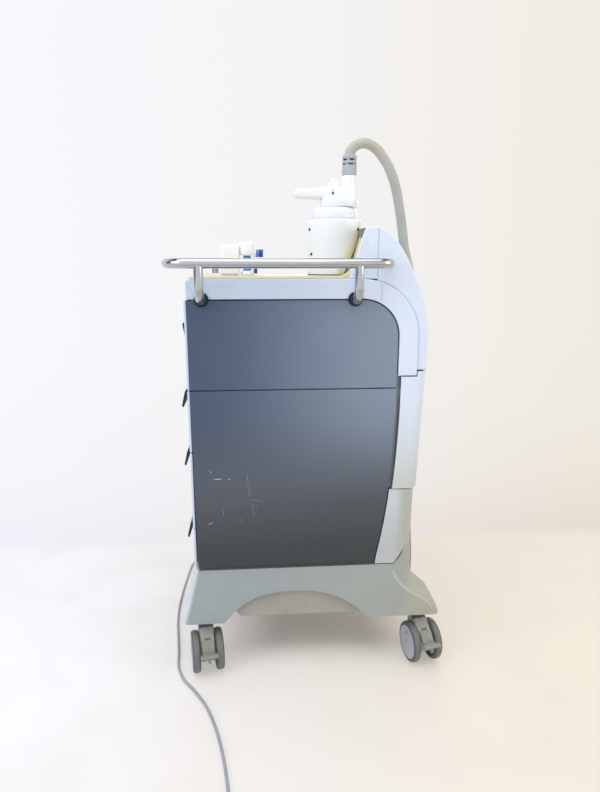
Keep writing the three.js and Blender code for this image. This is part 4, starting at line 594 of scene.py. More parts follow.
# %% Round the covers' edges
# finish, rounding (mm), slot
SOFT_COVERS = {
    "base_skirt": (sage_base, 1.5, "base"),
    "right_upper_panel": (slate_panel, 0.8, "slate"),
    "right_lower_panel": (scratched_slate, 0.8, "slate"),
    "left_upper_panel": (slate_panel, 0.8, "slate"),
    "left_lower_panel": (slate_panel, 0.8, "slate"),
    "upper_shell": (pale_cover, 1.0, "shell"),
    "display_housing": (pale_cover, 1.0, "shell"),
    "rear_hood": (pale_cover, 1.0, "shell"),
    "worktop": (cream_top, 1.0, "worktop"),
    "rear_wing_cover": (wing_cover, 1.2, "shell"),
    "lower_rear_cover": (rear_cover, 0.8, "shell"),
    "touch_screen": (screen_glass, 0.8, "screen"),
    "mains_switch": (trim_black, 0.5, "black"),
    "hose_gland": (boot_grey, 0.8, "grey"),
    "strain_relief": (trim_black, 0.4, "black"),
}
for number in (1, 2, 3, 4):
    SOFT_COVERS[f"drawer_{number}_front"] = (pale_cover, 0.8, "shell")
    SOFT_COVERS[f"drawer_{number}_pull"] = (trim_black, 0.8, "black")
for corner in ("front_right", "front_left", "rear_right", "rear_left"):
    SOFT_COVERS[f"{corner}_caster_fork"] = ([fork_greige, caster_slate], 0.8, "slate")
    SOFT_COVERS[f"{corner}_caster_pedal"] = (pedal_grey, 0.8, "grey")
COLLAR_FOOT = 104.9


def collar_or_fork(centre):
    return int(centre.z > COLLAR_FOOT)


covers = {node: softened(node, *way, collar_or_fork if node.endswith("_fork") else None)
          for node, way in SOFT_COVERS.items()}
print("covers rounded:", len(covers))

# %% [markdown]
# The base is the one cover with more shape than its solid. Its rear corners run out into feet over
# the casters, and the edge between the feet is drawn in. The rim under the side panels also sits a
# little lower. The mesh is cut into strips first, so that there are enough points to move.

# %% Draw in the base between its rear feet and lower its rim
# height, the solid's reach, the real reach
REAR_REACH = [
    (131, 300, 309), (136, 303, 309), (157, 302, 302), (176, 293, 292), (193, 281, 273),
    (207, 260, 257), (221, 243, 246), (243, 236, 243), (300, 236, 242), (331, 236, 237),
    (345, 236, 236), (2000, 236, 236),
]
SOLID, REAL = 1, 2
CORNER_X, RIM_HEIGHT, RIM_DROP = 192, 281, 7.5
# between the feet and below the top, this share of what reaches past TUCK_X is left
TUCK_X, TUCK_TOP, TUCK_LEFT = 242, 240, 0.3
TUCK_Y, TUCK_EASE = 90, 62
ACROSS, UP = (0, 1, 0), (0, 0, 1)


def reach_at(height, column):
    for low, high in zip(REAR_REACH, REAR_REACH[1:]):
        if height <= high[0]:
            step = high[column] - low[column]
            return low[column] + step * (max(height, low[0]) - low[0]) / (high[0] - low[0])


def base_place(x, y, z):
    """Where a point of the solid goes, in millimetres."""
    if x > CORNER_X:
        real, solid = reach_at(z, REAL) - CORNER_X, reach_at(z, SOLID) - CORNER_X
        x = CORNER_X + (x - CORNER_X) * real / solid
    share = min(max((abs(y) - TUCK_Y) / TUCK_EASE, 0), 1)
    if x > TUCK_X and z < TUCK_TOP:
        x = TUCK_X + (x - TUCK_X) * (TUCK_LEFT + (1 - TUCK_LEFT) * share * share * (3 - 2 * share))
    if abs(z - RIM_HEIGHT) < 3 and abs(y) > 200 and x < CORNER_X + 3:
        z -= RIM_DROP
    return x, y, z


def all_of(shape):
    return shape.verts[:] + shape.edges[:] + shape.faces[:]


def reshaped(piece, cuts=()):
    shape = bmesh.new()
    shape.from_mesh(piece.data)
    for place, way in cuts:
        bmesh.ops.bisect_plane(shape, geom=all_of(shape), dist=0.0001 * MM,
                               plane_co=Vector(place) * MM, plane_no=way)
    bmesh.ops.triangulate(shape, faces=[face for face in shape.faces if len(face.verts) > 4])
    for corner in shape.verts:
        corner.co = Vector(base_place(*(corner.co / MM))) * MM
    shape.to_mesh(piece.data)
    shape.free()


strips = [((0, y, 0), ACROSS) for y in [*range(-160, -84, 15), *range(85, 161, 15)]]
strips += [((0, 0, z), UP) for z in (166, 184, 200, 214, 264, 300)]
reshaped(covers["base_skirt"], strips)
reshaped(covers["lower_rear_cover"], [((0, 0, 300), UP)])
reshaped(covers["right_lower_panel"])
reshaped(covers["left_lower_panel"])
print("base drawn in with", len(strips), "cuts")

# %% [markdown]
# Behind the top drawer's pull the scoop is cut deep in the solid, and the real one looks shallow.
# Its points are drawn towards the drawer's face. The parts inside the cabinet keep their own
# meshes and only get a finish.

# %% Make the top scoop shallow and finish the inner parts
SCOOP_BACK, SCOOP_DEPTH = -281.1 * MM, 0.62
for corner in covers["drawer_1_pull"].data.vertices:
    corner.co.x = SCOOP_BACK + (corner.co.x - SCOOP_BACK) * SCOOP_DEPTH

INNER_PARTS = {
    "chassis": sheet_steel, "generator_module": sheet_steel, "power_supply": sheet_steel,
    "fan_frame": trim_black, "fan_impeller": trim_black, "drawer_1_tray": sheet_steel,
    "drawer_2_tray": sheet_steel, "drawer_3_tray": sheet_steel, "drawer_4_tray": sheet_steel,
}
for node, finish in INNER_PARTS.items():
    for slot in frame["nodes"][node].material_slots:
        slot.material = finish
print("inner parts finished:", len(INNER_PARTS))

# %% [markdown]
# ## Lathe work
# Most of what is round here was moulded in a round tool, so it is made as on a lathe: a profile of
# radius and height, spun once about Z and then moved to its place. A spin has even rings of faces,
# which shade better than the triangles of a CAD cylinder. Transforms are applied to the mesh, so
# that every object stays at the origin.

# %% A lathe in bmesh
def turned(profile, steps=48):
    """Spins a profile of (radius, height) points, in millimetres, about Z."""
    shape = bmesh.new()
    points = [shape.verts.new((r * MM, 0, z * MM)) for r, z in profile]
    edges = [shape.edges.new(pair) for pair in zip(points, points[1:])]
    bmesh.ops.spin(shape, geom=points + edges, cent=(0, 0, 0), axis=(0, 0, 1), dvec=(0, 0, 0),
                   angle=2 * math.pi, steps=steps, use_merge=True, use_duplicate=False)
    bmesh.ops.remove_doubles(shape, verts=shape.verts, dist=0.01 * MM)
    bmesh.ops.dissolve_degenerate(shape, edges=shape.edges, dist=0.001 * MM)
    bmesh.ops.recalc_face_normals(shape, faces=shape.faces)
    return shape


def moved(shape, *steps):
    """Applies transforms to a bmesh, the first one first."""
    for step in steps:
        bmesh.ops.transform(shape, matrix=step, verts=shape.verts)
    return shape


def merged(shapes):
    """Joins bmeshes into the first one."""
    whole = shapes[0]
    for other in shapes[1:]:
        spare = bpy.data.meshes.new("spare")
        other.to_mesh(spare)
        other.free()
        whole.from_mesh(spare)
        bpy.data.meshes.remove(spare)
    return whole


def tube_shape(name, route, radius, sides):
    """A tube along a route as a bmesh, its radius in millimetres."""
    spare = mesh_of(tube_along(name, route, radius * MM, sides))
    shape = bmesh.new()
    shape.from_mesh(spare)
    bpy.data.meshes.remove(spare)
    return shape


def at(x, y, z):
    return Matrix.Translation(Vector((x, y, z)) * MM)


def turn(degrees, axis):
    return Matrix.Rotation(math.radians(degrees), 4, axis)


def painted(shape, finish_of):
    """Gives each face the finish number that its radius, height and angle about Z call for."""
    for face in shape.faces:
        middle = face.calc_center_median() / MM
        face.material_index = finish_of(math.hypot(middle.x, middle.y), middle.z,
                                        math.atan2(middle.y, middle.x))
    return shape


def all_in(shape, index):
    return painted(shape, lambda radius, height, angle: index)


def rounded(shape, edges, radius, segments=3):
    """Bevels edges of a bmesh by a radius in millimetres."""
    bmesh.ops.bevel(shape, geom=edges, offset=radius * MM, segments=segments, profile=0.5,
                    affect="EDGES", material=-1)
    return shape


def sharp_box(low, high):
    """A box between two corners, in millimetres."""
    shape = bmesh.new()
    bmesh.ops.create_cube(shape, size=1)
    size = [(b - a) * MM for a, b in zip(low, high)]
    middle = [(a + b) / 2 for a, b in zip(low, high)]
    return moved(shape, Matrix.Diagonal((*size, 1)), at(*middle))


def soft_box(low, high, radius, segments=3):
    shape = sharp_box(low, high)
    return rounded(shape, shape.edges[:], radius, segments)


def side_solid(outline, left, right, radius, segments=3):
    """A closed side view of (x, z) points, in millimetres, as deep as asked in Y."""
    shape = bmesh.new()
    face = shape.faces.new([shape.verts.new((x * MM, left * MM, z * MM)) for x, z in outline])
    grown = bmesh.ops.extrude_face_region(shape, geom=[face])["geom"]
    bmesh.ops.translate(shape, vec=(0, (right - left) * MM, 0),
                        verts=[v for v in grown if isinstance(v, bmesh.types.BMVert)])
    bmesh.ops.recalc_face_normals(shape, faces=shape.faces)
    rims = [e for e in shape.edges if abs(e.verts[0].co.y - e.verts[1].co.y) < 1e-7]
    return rounded(shape, rims, radius, segments)


SIDES = ((-1, "right"), (1, "left"))

# %% [markdown]
# ## Under the base and round the worktop
# The belly pan hangs behind the arch with a slanted front end. A soft ridge runs down each rear
# corner of the base, where its flat side turns into the hollow back; a bead painted paler than the
# base lies along it as a painted highlight. Thin dark beads draw the gap between base and panel,
# and a small plug closes each rear corner. A shallow cream lip runs round the worktop on top of the
# pale band.

# %% Hang the belly pan, run the ridges and lay the lip
PAN = [(-176, 138), (-192.5, 158), (-192.5, 221.8), (178, 221.8), (184.5, 215), (184.5, 140),
       (181, 137)]
placed("belly_pan_tray", side_solid(PAN, -205, 205, 2.5), pan_greige, "cabinet", 30,
       instead_of="belly_pan")
BEAD_STEPS = BEAD_SIDES = 5


def bead(name, points, radius, finish):
    """A thin bead laid through points given in millimetres."""
    points = [Vector(p) * MM for p in points]
    route = [between(points, i, k / BEAD_STEPS)
             for i in range(len(points) - 1) for k in range(BEAD_STEPS)]
    shape = tube_shape(name, route + [points[-1]], radius, BEAD_SIDES)
    placed(name, shape, finish, "cabinet", 60)


# The ridge bead runs here; its paler finish is a painted highlight.
RIDGE = [(191.5, 256), (193, 246), (198, 235.3), (206.6, 221.6), (217.5, 208.2), (230.3, 197.4),
         (245.6, 186.4), (260.9, 177.3), (275, 168.1), (285, 158), (290, 147)]
SHOULDER = [(192, 273.5), (198, 281.5), (205, 290), (212, 303), (219, 315), (227, 322),
            (233, 327), (236, 331)]
GAP_Y, CORNER_RADIUS = 219.6, 44
for side, name in SIDES:
    bead(f"base_ridge_{name}", [(x, side * 216.4, z) for x, z in RIDGE], 4.4, ridge_painted_highlight)
    bead(f"rim_gap_{name}", [(x, side * GAP_Y, 273.3) for x in (-271, -120, 30, 192)], 1.2,
         seam_grey)
    round_corner = [
        (x, side * (176 + math.sqrt(max(CORNER_RADIUS ** 2 - (x - CORNER_X) ** 2, 0)) - 0.2), z)
        for x, z in SHOULDER]
    bead(f"shoulder_gap_{name}", round_corner, 0.9, seam_grey)
for side, name in SIDES:
    filler = moved(soft_box((-4, -4, -5), (4, 4, 5), 1.5), turn(45 * side, "Z"),
                   at(224.6, side * 208.6, 222))
    placed(f"corner_filler_{name}", filler, sage_base, "cabinet", 40)

lip = sharp_box((-270.5, -213, 942.2), (62, 213, 946.6))
uprights = [e for e in lip.edges
            if abs(e.verts[0].co.z - e.verts[1].co.z) > MM and e.verts[0].co.x < -0.2]
rounded(lip, uprights, 14, 6)
rounded(lip, [e for e in lip.edges if abs(e.calc_face_angle(0)) > 1.2], 1.4)
placed("worktop_lip", lip, pale_cream, "cabinet", 40)
print("pan, ridges, gaps and lip in place")

# %% [markdown]
# ## The handrail
# The rail is stainless tube, bent with a round former, with its posts welded under it. Each run is
# a line of straight lengths and arcs with a round section swept along it, finely enough for the
# long highlights of polished tube to run smoothly through the bends.

# %% Bend the handrail
def bent(corners, radii, steps=10):
    """Straight lengths between corners in millimetres, with an arc at each corner."""
    points = [Vector(corners[0])]
    for before, corner, after, radius in zip(corners, corners[1:], corners[2:], radii):
        corner = Vector(corner)
        into, out = (corner - Vector(before)).normalized(), (Vector(after) - corner).normalized()
        sweep = into.angle(out)
        side = (out - into * into.dot(out)).normalized()
        start = corner - into * radius * math.tan(sweep / 2)
        for k in range(steps + 1):
            angle = sweep * k / steps
            points.append(start + into * radius * math.sin(angle)
                          + side * radius * (1 - math.cos(angle)))
    return [p * MM for p in points + [Vector(corners[-1])]]


RAIL_Y, RAIL_Z, RAIL_FRONT, RAIL_END, RAIL_RADIUS = 265, 974.7, -310.7, 154, 10.3
POST_XS, POST_FOOT = (-243, 86), 900
LOOP = [(RAIL_END, -216.3), (RAIL_END, -RAIL_Y), (RAIL_FRONT, -RAIL_Y), (RAIL_FRONT, RAIL_Y),
        (RAIL_END, RAIL_Y), (RAIL_END, 216.3)]
loop = bent([(x, y, RAIL_Z) for x, y in LOOP], (28, 45, 45, 28))
tubes = [tube_shape("rail", loop, RAIL_RADIUS, 10)]
for x in POST_XS:
    for side in (-1, 1):
        post = bent([(x, side * RAIL_Y, RAIL_Z - 3), (x, side * RAIL_Y, POST_FOOT),
                     (x, side * 210, POST_FOOT)], (26,))
        tubes.append(tube_shape("post", post, RAIL_RADIUS - 0.3, 10))
handrail = placed("handrail_tube", merged(tubes), rail_steel, "cabinet", 50,
                  instead_of="handrail")
print("rail bent:", len(handrail.data.polygons), "faces")

# %% [markdown]
# Each post enters the side through a short round boss, and a black rubber cap fits over the boss
# and closes round the tube.

# %% Press a black ring round each post's foot
RING = [(10.8, 6.6), (14.7, 6.6), (14.7, 0.2), (15.6, 0.2), (15.5, 5.4), (15.0, 6.9), (13.8, 7.8),
        (12.2, 7.9), (11.1, 7.4), (10.8, 6.6)]
for i, x in enumerate(POST_XS):
    for side, name in SIDES:
        ring = moved(turned(RING, 40), turn(-90 * side, "X"), at(x, side * 217.6, POST_FOOT))
        placed(f"post_ring_{i}_{name}", ring, seal_black, "cabinet")
print("rings pressed: 4")

# %% [markdown]
# ## The dock and the treatment head
# The white cup on the worktop is turned, then its back is cut off along a leaning plane, so that it
# stands against the screen's surround. The head that rests in it is also a set of turnings, with a
# long lever and a raised button on top. Its seams are real grooves in the profiles.

# %% Turn the dock cup and cut its back
DOCK = (54, -95)
CUP = [(0, 949.6), (57.4, 949.6), (59.2, 950.4), (60, 952.6), (62.6, 1050), (63, 1058), (63, 1065),
       (62.3, 1068.2), (60.6, 1069.6), (59.2, 1069.4), (58.3, 1068), (58, 1053.6), (30.6, 999.6),
       (29, 998.6), (0, 998.6)]
FOOT_SHADOW_RING = [(0, 948.4), (60.3, 948.4), (60.3, 950.2), (0, 950.2)]
FACE_LEAN = Vector((1, 0, -0.49)).normalized()


def cut_back(profile, foot):
    """A turning on the dock, cut along the leaning face that stands on the worktop at a foot."""
    shape = moved(turned(profile, 72), at(*DOCK, 0))
    cut = bmesh.ops.bisect_plane(shape, geom=all_of(shape), dist=0.001 * MM, clear_outer=True,
                                 plane_co=Vector((foot, 0, 948.3)) * MM, plane_no=FACE_LEAN)
    rim = [e for e in cut["geom_cut"] if isinstance(e, bmesh.types.BMEdge)]
    bmesh.ops.edgeloop_fill(shape, edges=rim)
    return shape


placed("dock_cup_white", cut_back(CUP, 67), cup_white, "cabinet", 40,
       instead_of="dock_cup")
# A thin black ring under the cup's foot is painted shadow, for the gap between cup and worktop.
placed("dock_foot_shadow_ring", cut_back(FOOT_SHADOW_RING, 66.5), trim_black, "cabinet")
print("cup cut along its back")

# %% [markdown]
# A dark strip closes the top of the leaning face on both sides of the cup; its dark olive colour is
# painted shade. It is a thin wedge: flush at its foot and a few millimetres proud at the top, where
# it shows past the cheek.

# %% Fit the screen's top strip
STRIP_DEPTH, STRIP_TOP = 5.5, 1047.5


def face_at(height):
    """How far back the leaning face is, at a height."""
    return 73 + 33 * (height - 942) / 109


for name, left, right, foot in (("near", -213.5, -163, 1030), ("far", -27, 213.5, 1039.5)):
    wedge = [(face_at(foot) + STRIP_DEPTH, foot), (face_at(foot), foot),
             (face_at(STRIP_TOP - 1) - 4.6, STRIP_TOP - 1), (face_at(STRIP_TOP) - 3, STRIP_TOP),
             (face_at(STRIP_TOP) + STRIP_DEPTH, STRIP_TOP)]
    placed(f"screen_top_strip_{name}", side_solid(wedge, left, right, 0.4, 2), strip_painted_shade,
           "cabinet", 30)
print("top strip fitted")

# %% [markdown]
# Small dark screws hold the cup's liner and the rear covers. One turned pan head with a six-sided
# recess serves for all of them, and each is turned to face the way its surface faces.

# %% Drive the small screws
def screw(name, body, place, facing, radius, finish=screw_steel):
    shape = turned([(0, -1.5), (radius, -1.5), (radius, 0.7), (radius * 0.86, 1.3),
                    (radius * 0.5, 1.5), (0, 1.5)], 24)
    recess = [face for face in shape.faces if face.calc_center_median().z > 1.45 * MM]
    bmesh.ops.inset_region(shape, faces=recess, thickness=radius * 0.12 * MM)
    bmesh.ops.translate(shape, vec=(0, 0, -0.9 * MM),
                        verts=list({v for face in recess for v in face.verts}))
    moved(shape, Vector(facing).to_track_quat("Z", "Y").to_matrix().to_4x4(), at(*place))
    placed(name, shape, finish, body, 30)


screws = []
# angle round the cup, height, distance from its axis
for angle, height, radius in ((201, 1049, 62.6), (160, 1049, 62.6), (321, 1049, 62.6),
                              (207, 995, 61.3), (154, 995, 61.3)):
    out = Vector((math.cos(math.radians(angle)), math.sin(math.radians(angle)), 0))
    screws.append(((DOCK[0] + out.x * radius, DOCK[1] + out.y * radius, height), out))
for y in (-172, 172):
    screws += [((243.6, y, 500), (1, 0, -0.04)), ((251.3, y, 700), (1, 0, -0.04)),
               ((236, y * 0.96, 440), (1, 0, 0)), ((236, y * 0.96, 352), (1, 0, 0))]
for i, (place, out) in enumerate(screws):
    screw(f"cover_screw_{i}", "cabinet", place, out, 3.4)
print("screws driven:", len(screws))

# %% [markdown]
# The head's can is white with a cone at its foot, and the cone ends in a small grey treating face.

# %% Turn the head's can
CAN = [(0, 998.9), (23.6, 998.9), (26.2, 999.8), (27, 1001.9), (48.8, 1046.6), (50.5, 1049.4),
       (51, 1052), (51, 1071.6), (50.1, 1072.1), (50.1, 1073.3), (51, 1073.8), (51, 1085),
       (50.3, 1089.4), (48.4, 1092.8), (45.4, 1095.8), (42, 1097.3), (39, 1097.6), (0, 1097.6)]


def face_or_can(radius, height, angle):
    return int(radius < 26 and height < 1000)


can = placed("head_can_white", moved(painted(turned(CAN, 72), face_or_can), at(*DOCK, 0)),
             [gloss_white, boot_grey], "head", instead_of="head_can")
print("can turned:", len(can.data.polygons), "faces")

# %% [markdown]
# The lever is drawn as a side view, extruded to its width and bevelled all round. The collar,
# neck and button boss are closed forms of their own that overlap it, as ribs inside a moulding do.

# %% Make the handle, its lever and its button
ARM = [(87, 1117), (87, 1136.9), (67, 1140.9), (37, 1139.9), (-27, 1136.4), (-33, 1135.4),
       (-37.2, 1132), (-38.2, 1127), (-37, 1122), (-33, 1119), (-26, 1118), (-8, 1117.6),
       (30, 1116.8)]
COLLAR = [(0, 1097.9), (40, 1097.9), (42.3, 1098.7), (43, 1100.6), (43, 1112.6), (42, 1116),
          (39, 1118.6), (35, 1119.9), (0, 1119.9)]
NECK = [(0, 1115.9), (19.8, 1115.9), (19, 1135), (18, 1140.5), (17, 1146), (16.8, 1150),
        (16.8, 1165.4), (16.2, 1166.9), (0, 1166.9)]
NECK_PLACE = at(87, DOCK[1], 0)
boss = soft_box((40, -108, 1130), (62, -82, 1153.9), 3)
boss_top = [face for face in boss.faces if face.normal.z > 0.99]
bmesh.ops.inset_region(boss, faces=boss_top, thickness=0.8 * MM)
handle = merged([side_solid(ARM, DOCK[1] - 19, DOCK[1] + 19, 4, 4),
                 moved(turned(COLLAR, 64), at(64, DOCK[1], 0)), moved(turned(NECK), NECK_PLACE),
                 boss])
placed("head_handle_white", handle, gloss_white, "head", 40, instead_of="head_handle")
button = soft_box((43.7, -102.3, 1146.6), (58.3, -87.7, 1160.9), 1.8)
placed("head_button_white", button, gloss_white, body_of("head_button"), 40,
       instead_of="head_button")
seat = soft_box((42.2, -103.8, 1153), (59.8, -86.2, 1154.3), 0.5, 2)
placed("button_seat", seat, trim_black, "head", 40)
screw("handle_screw", "head", (48, -114, 1127.6), (0, -1, 0), 2.6)
screw("handle_pin", "head", (48, -114, 1134), (0, -1, 0), 1.5, disc_grey)
print("handle made")

# %% [markdown]
# The boot is a grey rubber turning with two grooves, and each groove has five dark slots round it.

# %% Turn the hose boot with its slots
BOOT = [(0, 1167.2), (15.9, 1167.2), (16.4, 1167.8), (16.4, 1188.2), (16.1, 1188.8), (14.6, 1189.2),
        (14.6, 1192.4), (16.0, 1193), (16.2, 1193.6), (16.2, 1197.4), (16.0, 1198), (14.4, 1198.4),
        (14.4, 1201.6), (15.8, 1202.2), (16, 1203), (15.6, 1208.6), (14.8, 1210.6), (13.4, 1211.2),
        (0, 1211.2)]


def slot_shade(radius, height, angle):
    groove = 13 < radius < 15.2 and (1188.9 < height < 1192.8 or 1198 < height < 1202)
    return int(groove and math.cos(angle * 5 + (1.3 if height < 1195 else 0.2)) > -0.25)


boot = placed("hose_boot_grey", moved(painted(turned(BOOT, 60), slot_shade), NECK_PLACE),
              [boot_grey, trim_black], body_of("hose_boot"), instead_of="hose_boot")
print("boot turned:", len(boot.data.polygons), "faces")

# %% [markdown]
# ## The accessory on the worktop
# A small white unit stands beside the dock: a cap on a blue neck, a rounded housing on its left and
# a nozzle with a deep blue end on its right. It is a handful of turnings and small soft boxes.

# %% Assemble the small accessory
UNIT = (-146, -100)
WHITE, BLUE, DEEP = 0, 1, 2


def upright(index, steps, profile):
    return all_in(moved(turned(profile, steps), at(*UNIT, 0)), index)


def lying(index, profile):
    return all_in(moved(turned(profile, 32), turn(90, "Y"), at(*UNIT, 997)), index)


def block(index, *box):
    return all_in(soft_box(*box), index)


unit = [
    upright(WHITE, 40, [(0, 948.6), (14, 948.6), (14.6, 949.6), (14, 956), (12, 958), (0, 958)]),
    upright(BLUE, 32, [(0, 956), (9.6, 957), (9, 962), (8.6, 968), (8.6, 993), (0, 993)]),
    upright(WHITE, 40, [(0, 992), (15, 992), (16.8, 994), (17, 997), (17, 1015), (16, 1018.6),
                        (12, 1021), (8, 1022), (0, 1022.4)]),
    block(WHITE, (-208, -116, 948.6), (-163, -84, 1016), 7, 4),
    block(WHITE, (-164, -104, 998), (-150, -96, 1010), 2),
    lying(WHITE, [(0, 14), (7.4, 14), (7.6, 15), (7.6, 20), (0, 20)]),
    lying(BLUE, [(0, 20), (8.2, 20), (8.4, 21), (8.4, 27), (8, 28), (0, 28)]),
    lying(DEEP, [(0, 27.8), (8.6, 27.8), (9, 29), (9, 35), (8.2, 36.4), (0, 36.6)]),
    block(DEEP, (-131, -105, 952), (-123, -95, 966), 2),
    block(WHITE, (-142, -104, 957), (-124, -96, 962), 1.5),
]
accessory = placed("worktop_accessory", merged(unit), [gloss_white, ring_blue, deep_blue],
                   "cabinet", 40, instead_of="transducer_cartridge")
print("accessory assembled:", len(accessory.data.polygons), "faces")

# %% [markdown]
# ## Twin-wheel casters
# Each wheel is a lathe turning: a soft grey tyre with a shallow groove, and a paler hard disc with
# a raised rim, a dished face and a hub cap. One bmesh spin of its profile makes the whole wheel,
# and each ring of faces takes its finish from its place on the profile.

# %% Turn a wheel and fit it eight times
WHEEL_PROFILE = [
    (6.5, 0.4), (18, 0.2), (36, 0.4), (41.5, 0.1), (45.6, 0.9), (48.0, 3.2), (49.1, 6.2),
    (49.38, 9.5), (49.1, 12.8), (48.2, 15.6), (46.4, 17.8), (44.2, 18.9), (43.0, 19.0),
    (42.2, 18.4), (41.9, 17.2), (41.2, 17.0), (40.9, 17.4), (40.6, 18.6), (39.9, 19.0),
    (38.4, 18.8), (36.8, 18.0), (34, 17.7), (18, 17.9), (9, 18.2), (6.5, 18.1), (6.5, 0.4),
]
WHEEL_FINISHES = [tyre_rubber, disc_grey, screw_steel, shaded_shoulder_rubber, wheel_inside]
TREAD, DISC, DARK, TYRE_SIDE, SHADED = range(5)
TYRE_EDGE, DISC_EDGE, TREAD_EDGE, HUB_WALL = 42.0, 41.0, 48.3, 45
AXLE_HEIGHT, WHEEL_GAP, TRAIL = 49.384, 18.6, -27
# where the stem stands, and the way that the caster is turned
CASTERS = {"front_right": (-265, -175, 10), "front_left": (-265, 175, 170),
           "rear_right": (268, -175, 10), "rear_left": (268, 175, 170)}


# The shoulder and the inner face take darker finishes: painted shade.
def wheel_shade(radius, height, angle):
    if radius > TYRE_EDGE:
        return TREAD if radius > TREAD_EDGE else TYRE_SIDE
    if radius > DISC_EDGE and height > 15:
        return DARK
    return SHADED if height < 1 and radius < HUB_WALL else DISC


def wheel_shape():
    wheel = painted(turned(WHEEL_PROFILE, 64), wheel_shade)
    pin = turned([(0, 16.5), (2.5, 16.5), (2.5, 18.3), (1.9, 18.7), (0, 18.7)], 20)
    cap = turned([(0, 17), (8.4, 17), (8.4, 18.6), (7.6, 19.0), (0, 19.1)], 40)
    return merged([wheel, all_in(moved(pin, at(23, 0, 0)), DARK), all_in(cap, DISC)])


def on_caster(shape, corner):
    stem_x, stem_y, facing = CASTERS[corner]
    return moved(shape, turn(facing, "Z"), at(stem_x, stem_y, 0))


for corner in CASTERS:
    for side, letter in ((-1, "a"), (1, "b")):
        node = f"{corner}_caster_wheel_{letter}"
        wheel = moved(wheel_shape(), turn(90 * side, "Y"), turn(12 * side, "X"),
                      at(side * WHEEL_GAP, TRAIL, AXLE_HEIGHT))
        placed(f"{corner}_wheel_{letter}", on_caster(wheel, corner), WHEEL_FINISHES, body_of(node),
               instead_of=node)
print("wheels fitted:", 2 * len(CASTERS))

# %% [markdown]
# A slate hood closes the top of each fork, round the stem. It is one soft box between the wheels,
# and it turns with its caster.

# %% Hood each fork
for corner in CASTERS:
    hood = on_caster(soft_box((-14.5, -18, 98), (14.5, 13, 112), 4), corner)
    placed(f"{corner}_fork_hood", hood, caster_slate, body_of(f"{corner}_caster_fork"), 40)
print("forks hooded:", len(CASTERS))

# %% [markdown]
# ## The plug, the coil's tie and the switch's marks
# The lead ends in a moulded plug with brass pins, and a soft strap holds the coil's turns. The
# rocker switch carries the usual line and ring, as thin raised shapes rather than a drawn picture.

# %% Finish the plug, tie the coil and mark the switch
PLUG_BODY, STRAP_WIDTH, SWITCH_TILT = 46.5, 12, 11.8
plug_end = lead_route[-1]
plug_way = (lead_route[-1] - lead_route[-2]).normalized()


def pin_or_body(centre):
    return int((centre * MM - plug_end).dot(plug_way) > PLUG_BODY * MM)


plug = softened("mains_plug", [boot_grey, pin_brass], 0.8, "grey", pin_or_body)
STRAP = [(32, 0, 16.8), (24.6, 0, 16.6), (24.6, 0, 0.6), (48.4, 0, 0.6), (48.4, 0, 16.6),
         (27, 0, 17.6)]
strap = moved(tube_shape("strap", bent(STRAP, (4, 3, 3, 4), 6), 0.5, 4),
              Matrix.Diagonal((1, STRAP_WIDTH, 1, 1)), turn(50, "Z"), at(COIL_X, COIL_Y, 0))
tie = placed("coil_tie", strap, trim_black, "cabinet", 40)

line = moved(soft_box((-0.25, -0.6, -3), (0.25, 0.6, 3), 0.15, 2), turn(SWITCH_TILT, "Y"),
             at(238.35, -60, 391))
ring = moved(turned([(1.8, -0.2), (2.6, -0.2), (2.6, 0.25), (1.8, 0.25), (1.8, -0.2)], 32),
             turn(90 - SWITCH_TILT, "Y"), at(238.3, -60, 379))
placed("switch_marks", merged([line, ring]), gloss_white, "switch")
print("plug finished, coil tied and switch marked")

# %% [markdown]
# ## Floor and light
# The cart stands on a pale floor before a pale wall, cool on the left and creamy on the right. A
# wall would hide the cart from behind, so the floor plays it: past the wall's foot it glows, for
# the camera only, in the tone that the world behind it shows. Both take that tone from one ramp,
# the floor by the bearing from where the photographer stood and the world by direction. Polished
# metal also mirrors the room that the photographer stood in, which was darker towards the left.

# %% Mix the wall's tone
COOL_WALL, MIDDLE_WALL = from_srgb(248, 250, 255), from_srgb(245, 244, 246)
WARM_WALL = from_srgb(240, 234, 222)
COOL_FOOT, WARM_FOOT = from_srgb(241, 239, 248), from_srgb(230, 221, 209)


def wall_tone(sideways):
    """The wall's colour from the sideways part of a direction, -1 to 1."""
    left = blend_colour(remap(sideways, -0.5, 0.05), COOL_WALL, MIDDLE_WALL)
    return blend_colour(remap(sideways, 0.05, 0.6), left, WARM_WALL)


def foot_tone(sideways):
    """The darker colour of the wall's foot and of the floor's far part."""
    return blend_colour(remap(sideways, -0.4, 0.5), COOL_FOOT, WARM_FOOT)


def bearing(x, y):
    """The sideways part of a level direction."""
    return combine("DIVIDE", x, combine("MAXIMUM", length_of(x, y), 0.001))


def seen_rays(tree):
    """1 for what the camera sees, also in metal and through glass; and 1 for metal alone."""
    path = tree.nodes.new("ShaderNodeLightPath").outputs
    clear = combine("MAXIMUM", path["Is Camera Ray"], path["Is Transmission Ray"])
    return combine("MAXIMUM", clear, path["Is Glossy Ray"]), path["Is Glossy Ray"]


def mixed(share, first, second):
    return new_node("ShaderNodeMixShader", {0: share, 1: first, 2: second}).outputs[0]


# %% [markdown]
# The floor is lifted a little towards its own colour, as a bright shop floor is, but less in a
# fixed patch under the cart: a painted shadow there, over the real one. Metal sees it darker,
# because the real floor was darker behind the photographer.

# %% Lay the floor
FLOOR_COOL, FLOOR_WARM = from_srgb(248, 246, 251), from_srgb(240, 232, 218)
STAIN, MIRRORED_FLOOR = from_srgb(226, 219, 209), from_srgb(96, 96, 98)
OPEN_LIFT, SHADED_LIFT = 0.45, 0.03
WALL_FOOT = 0.455


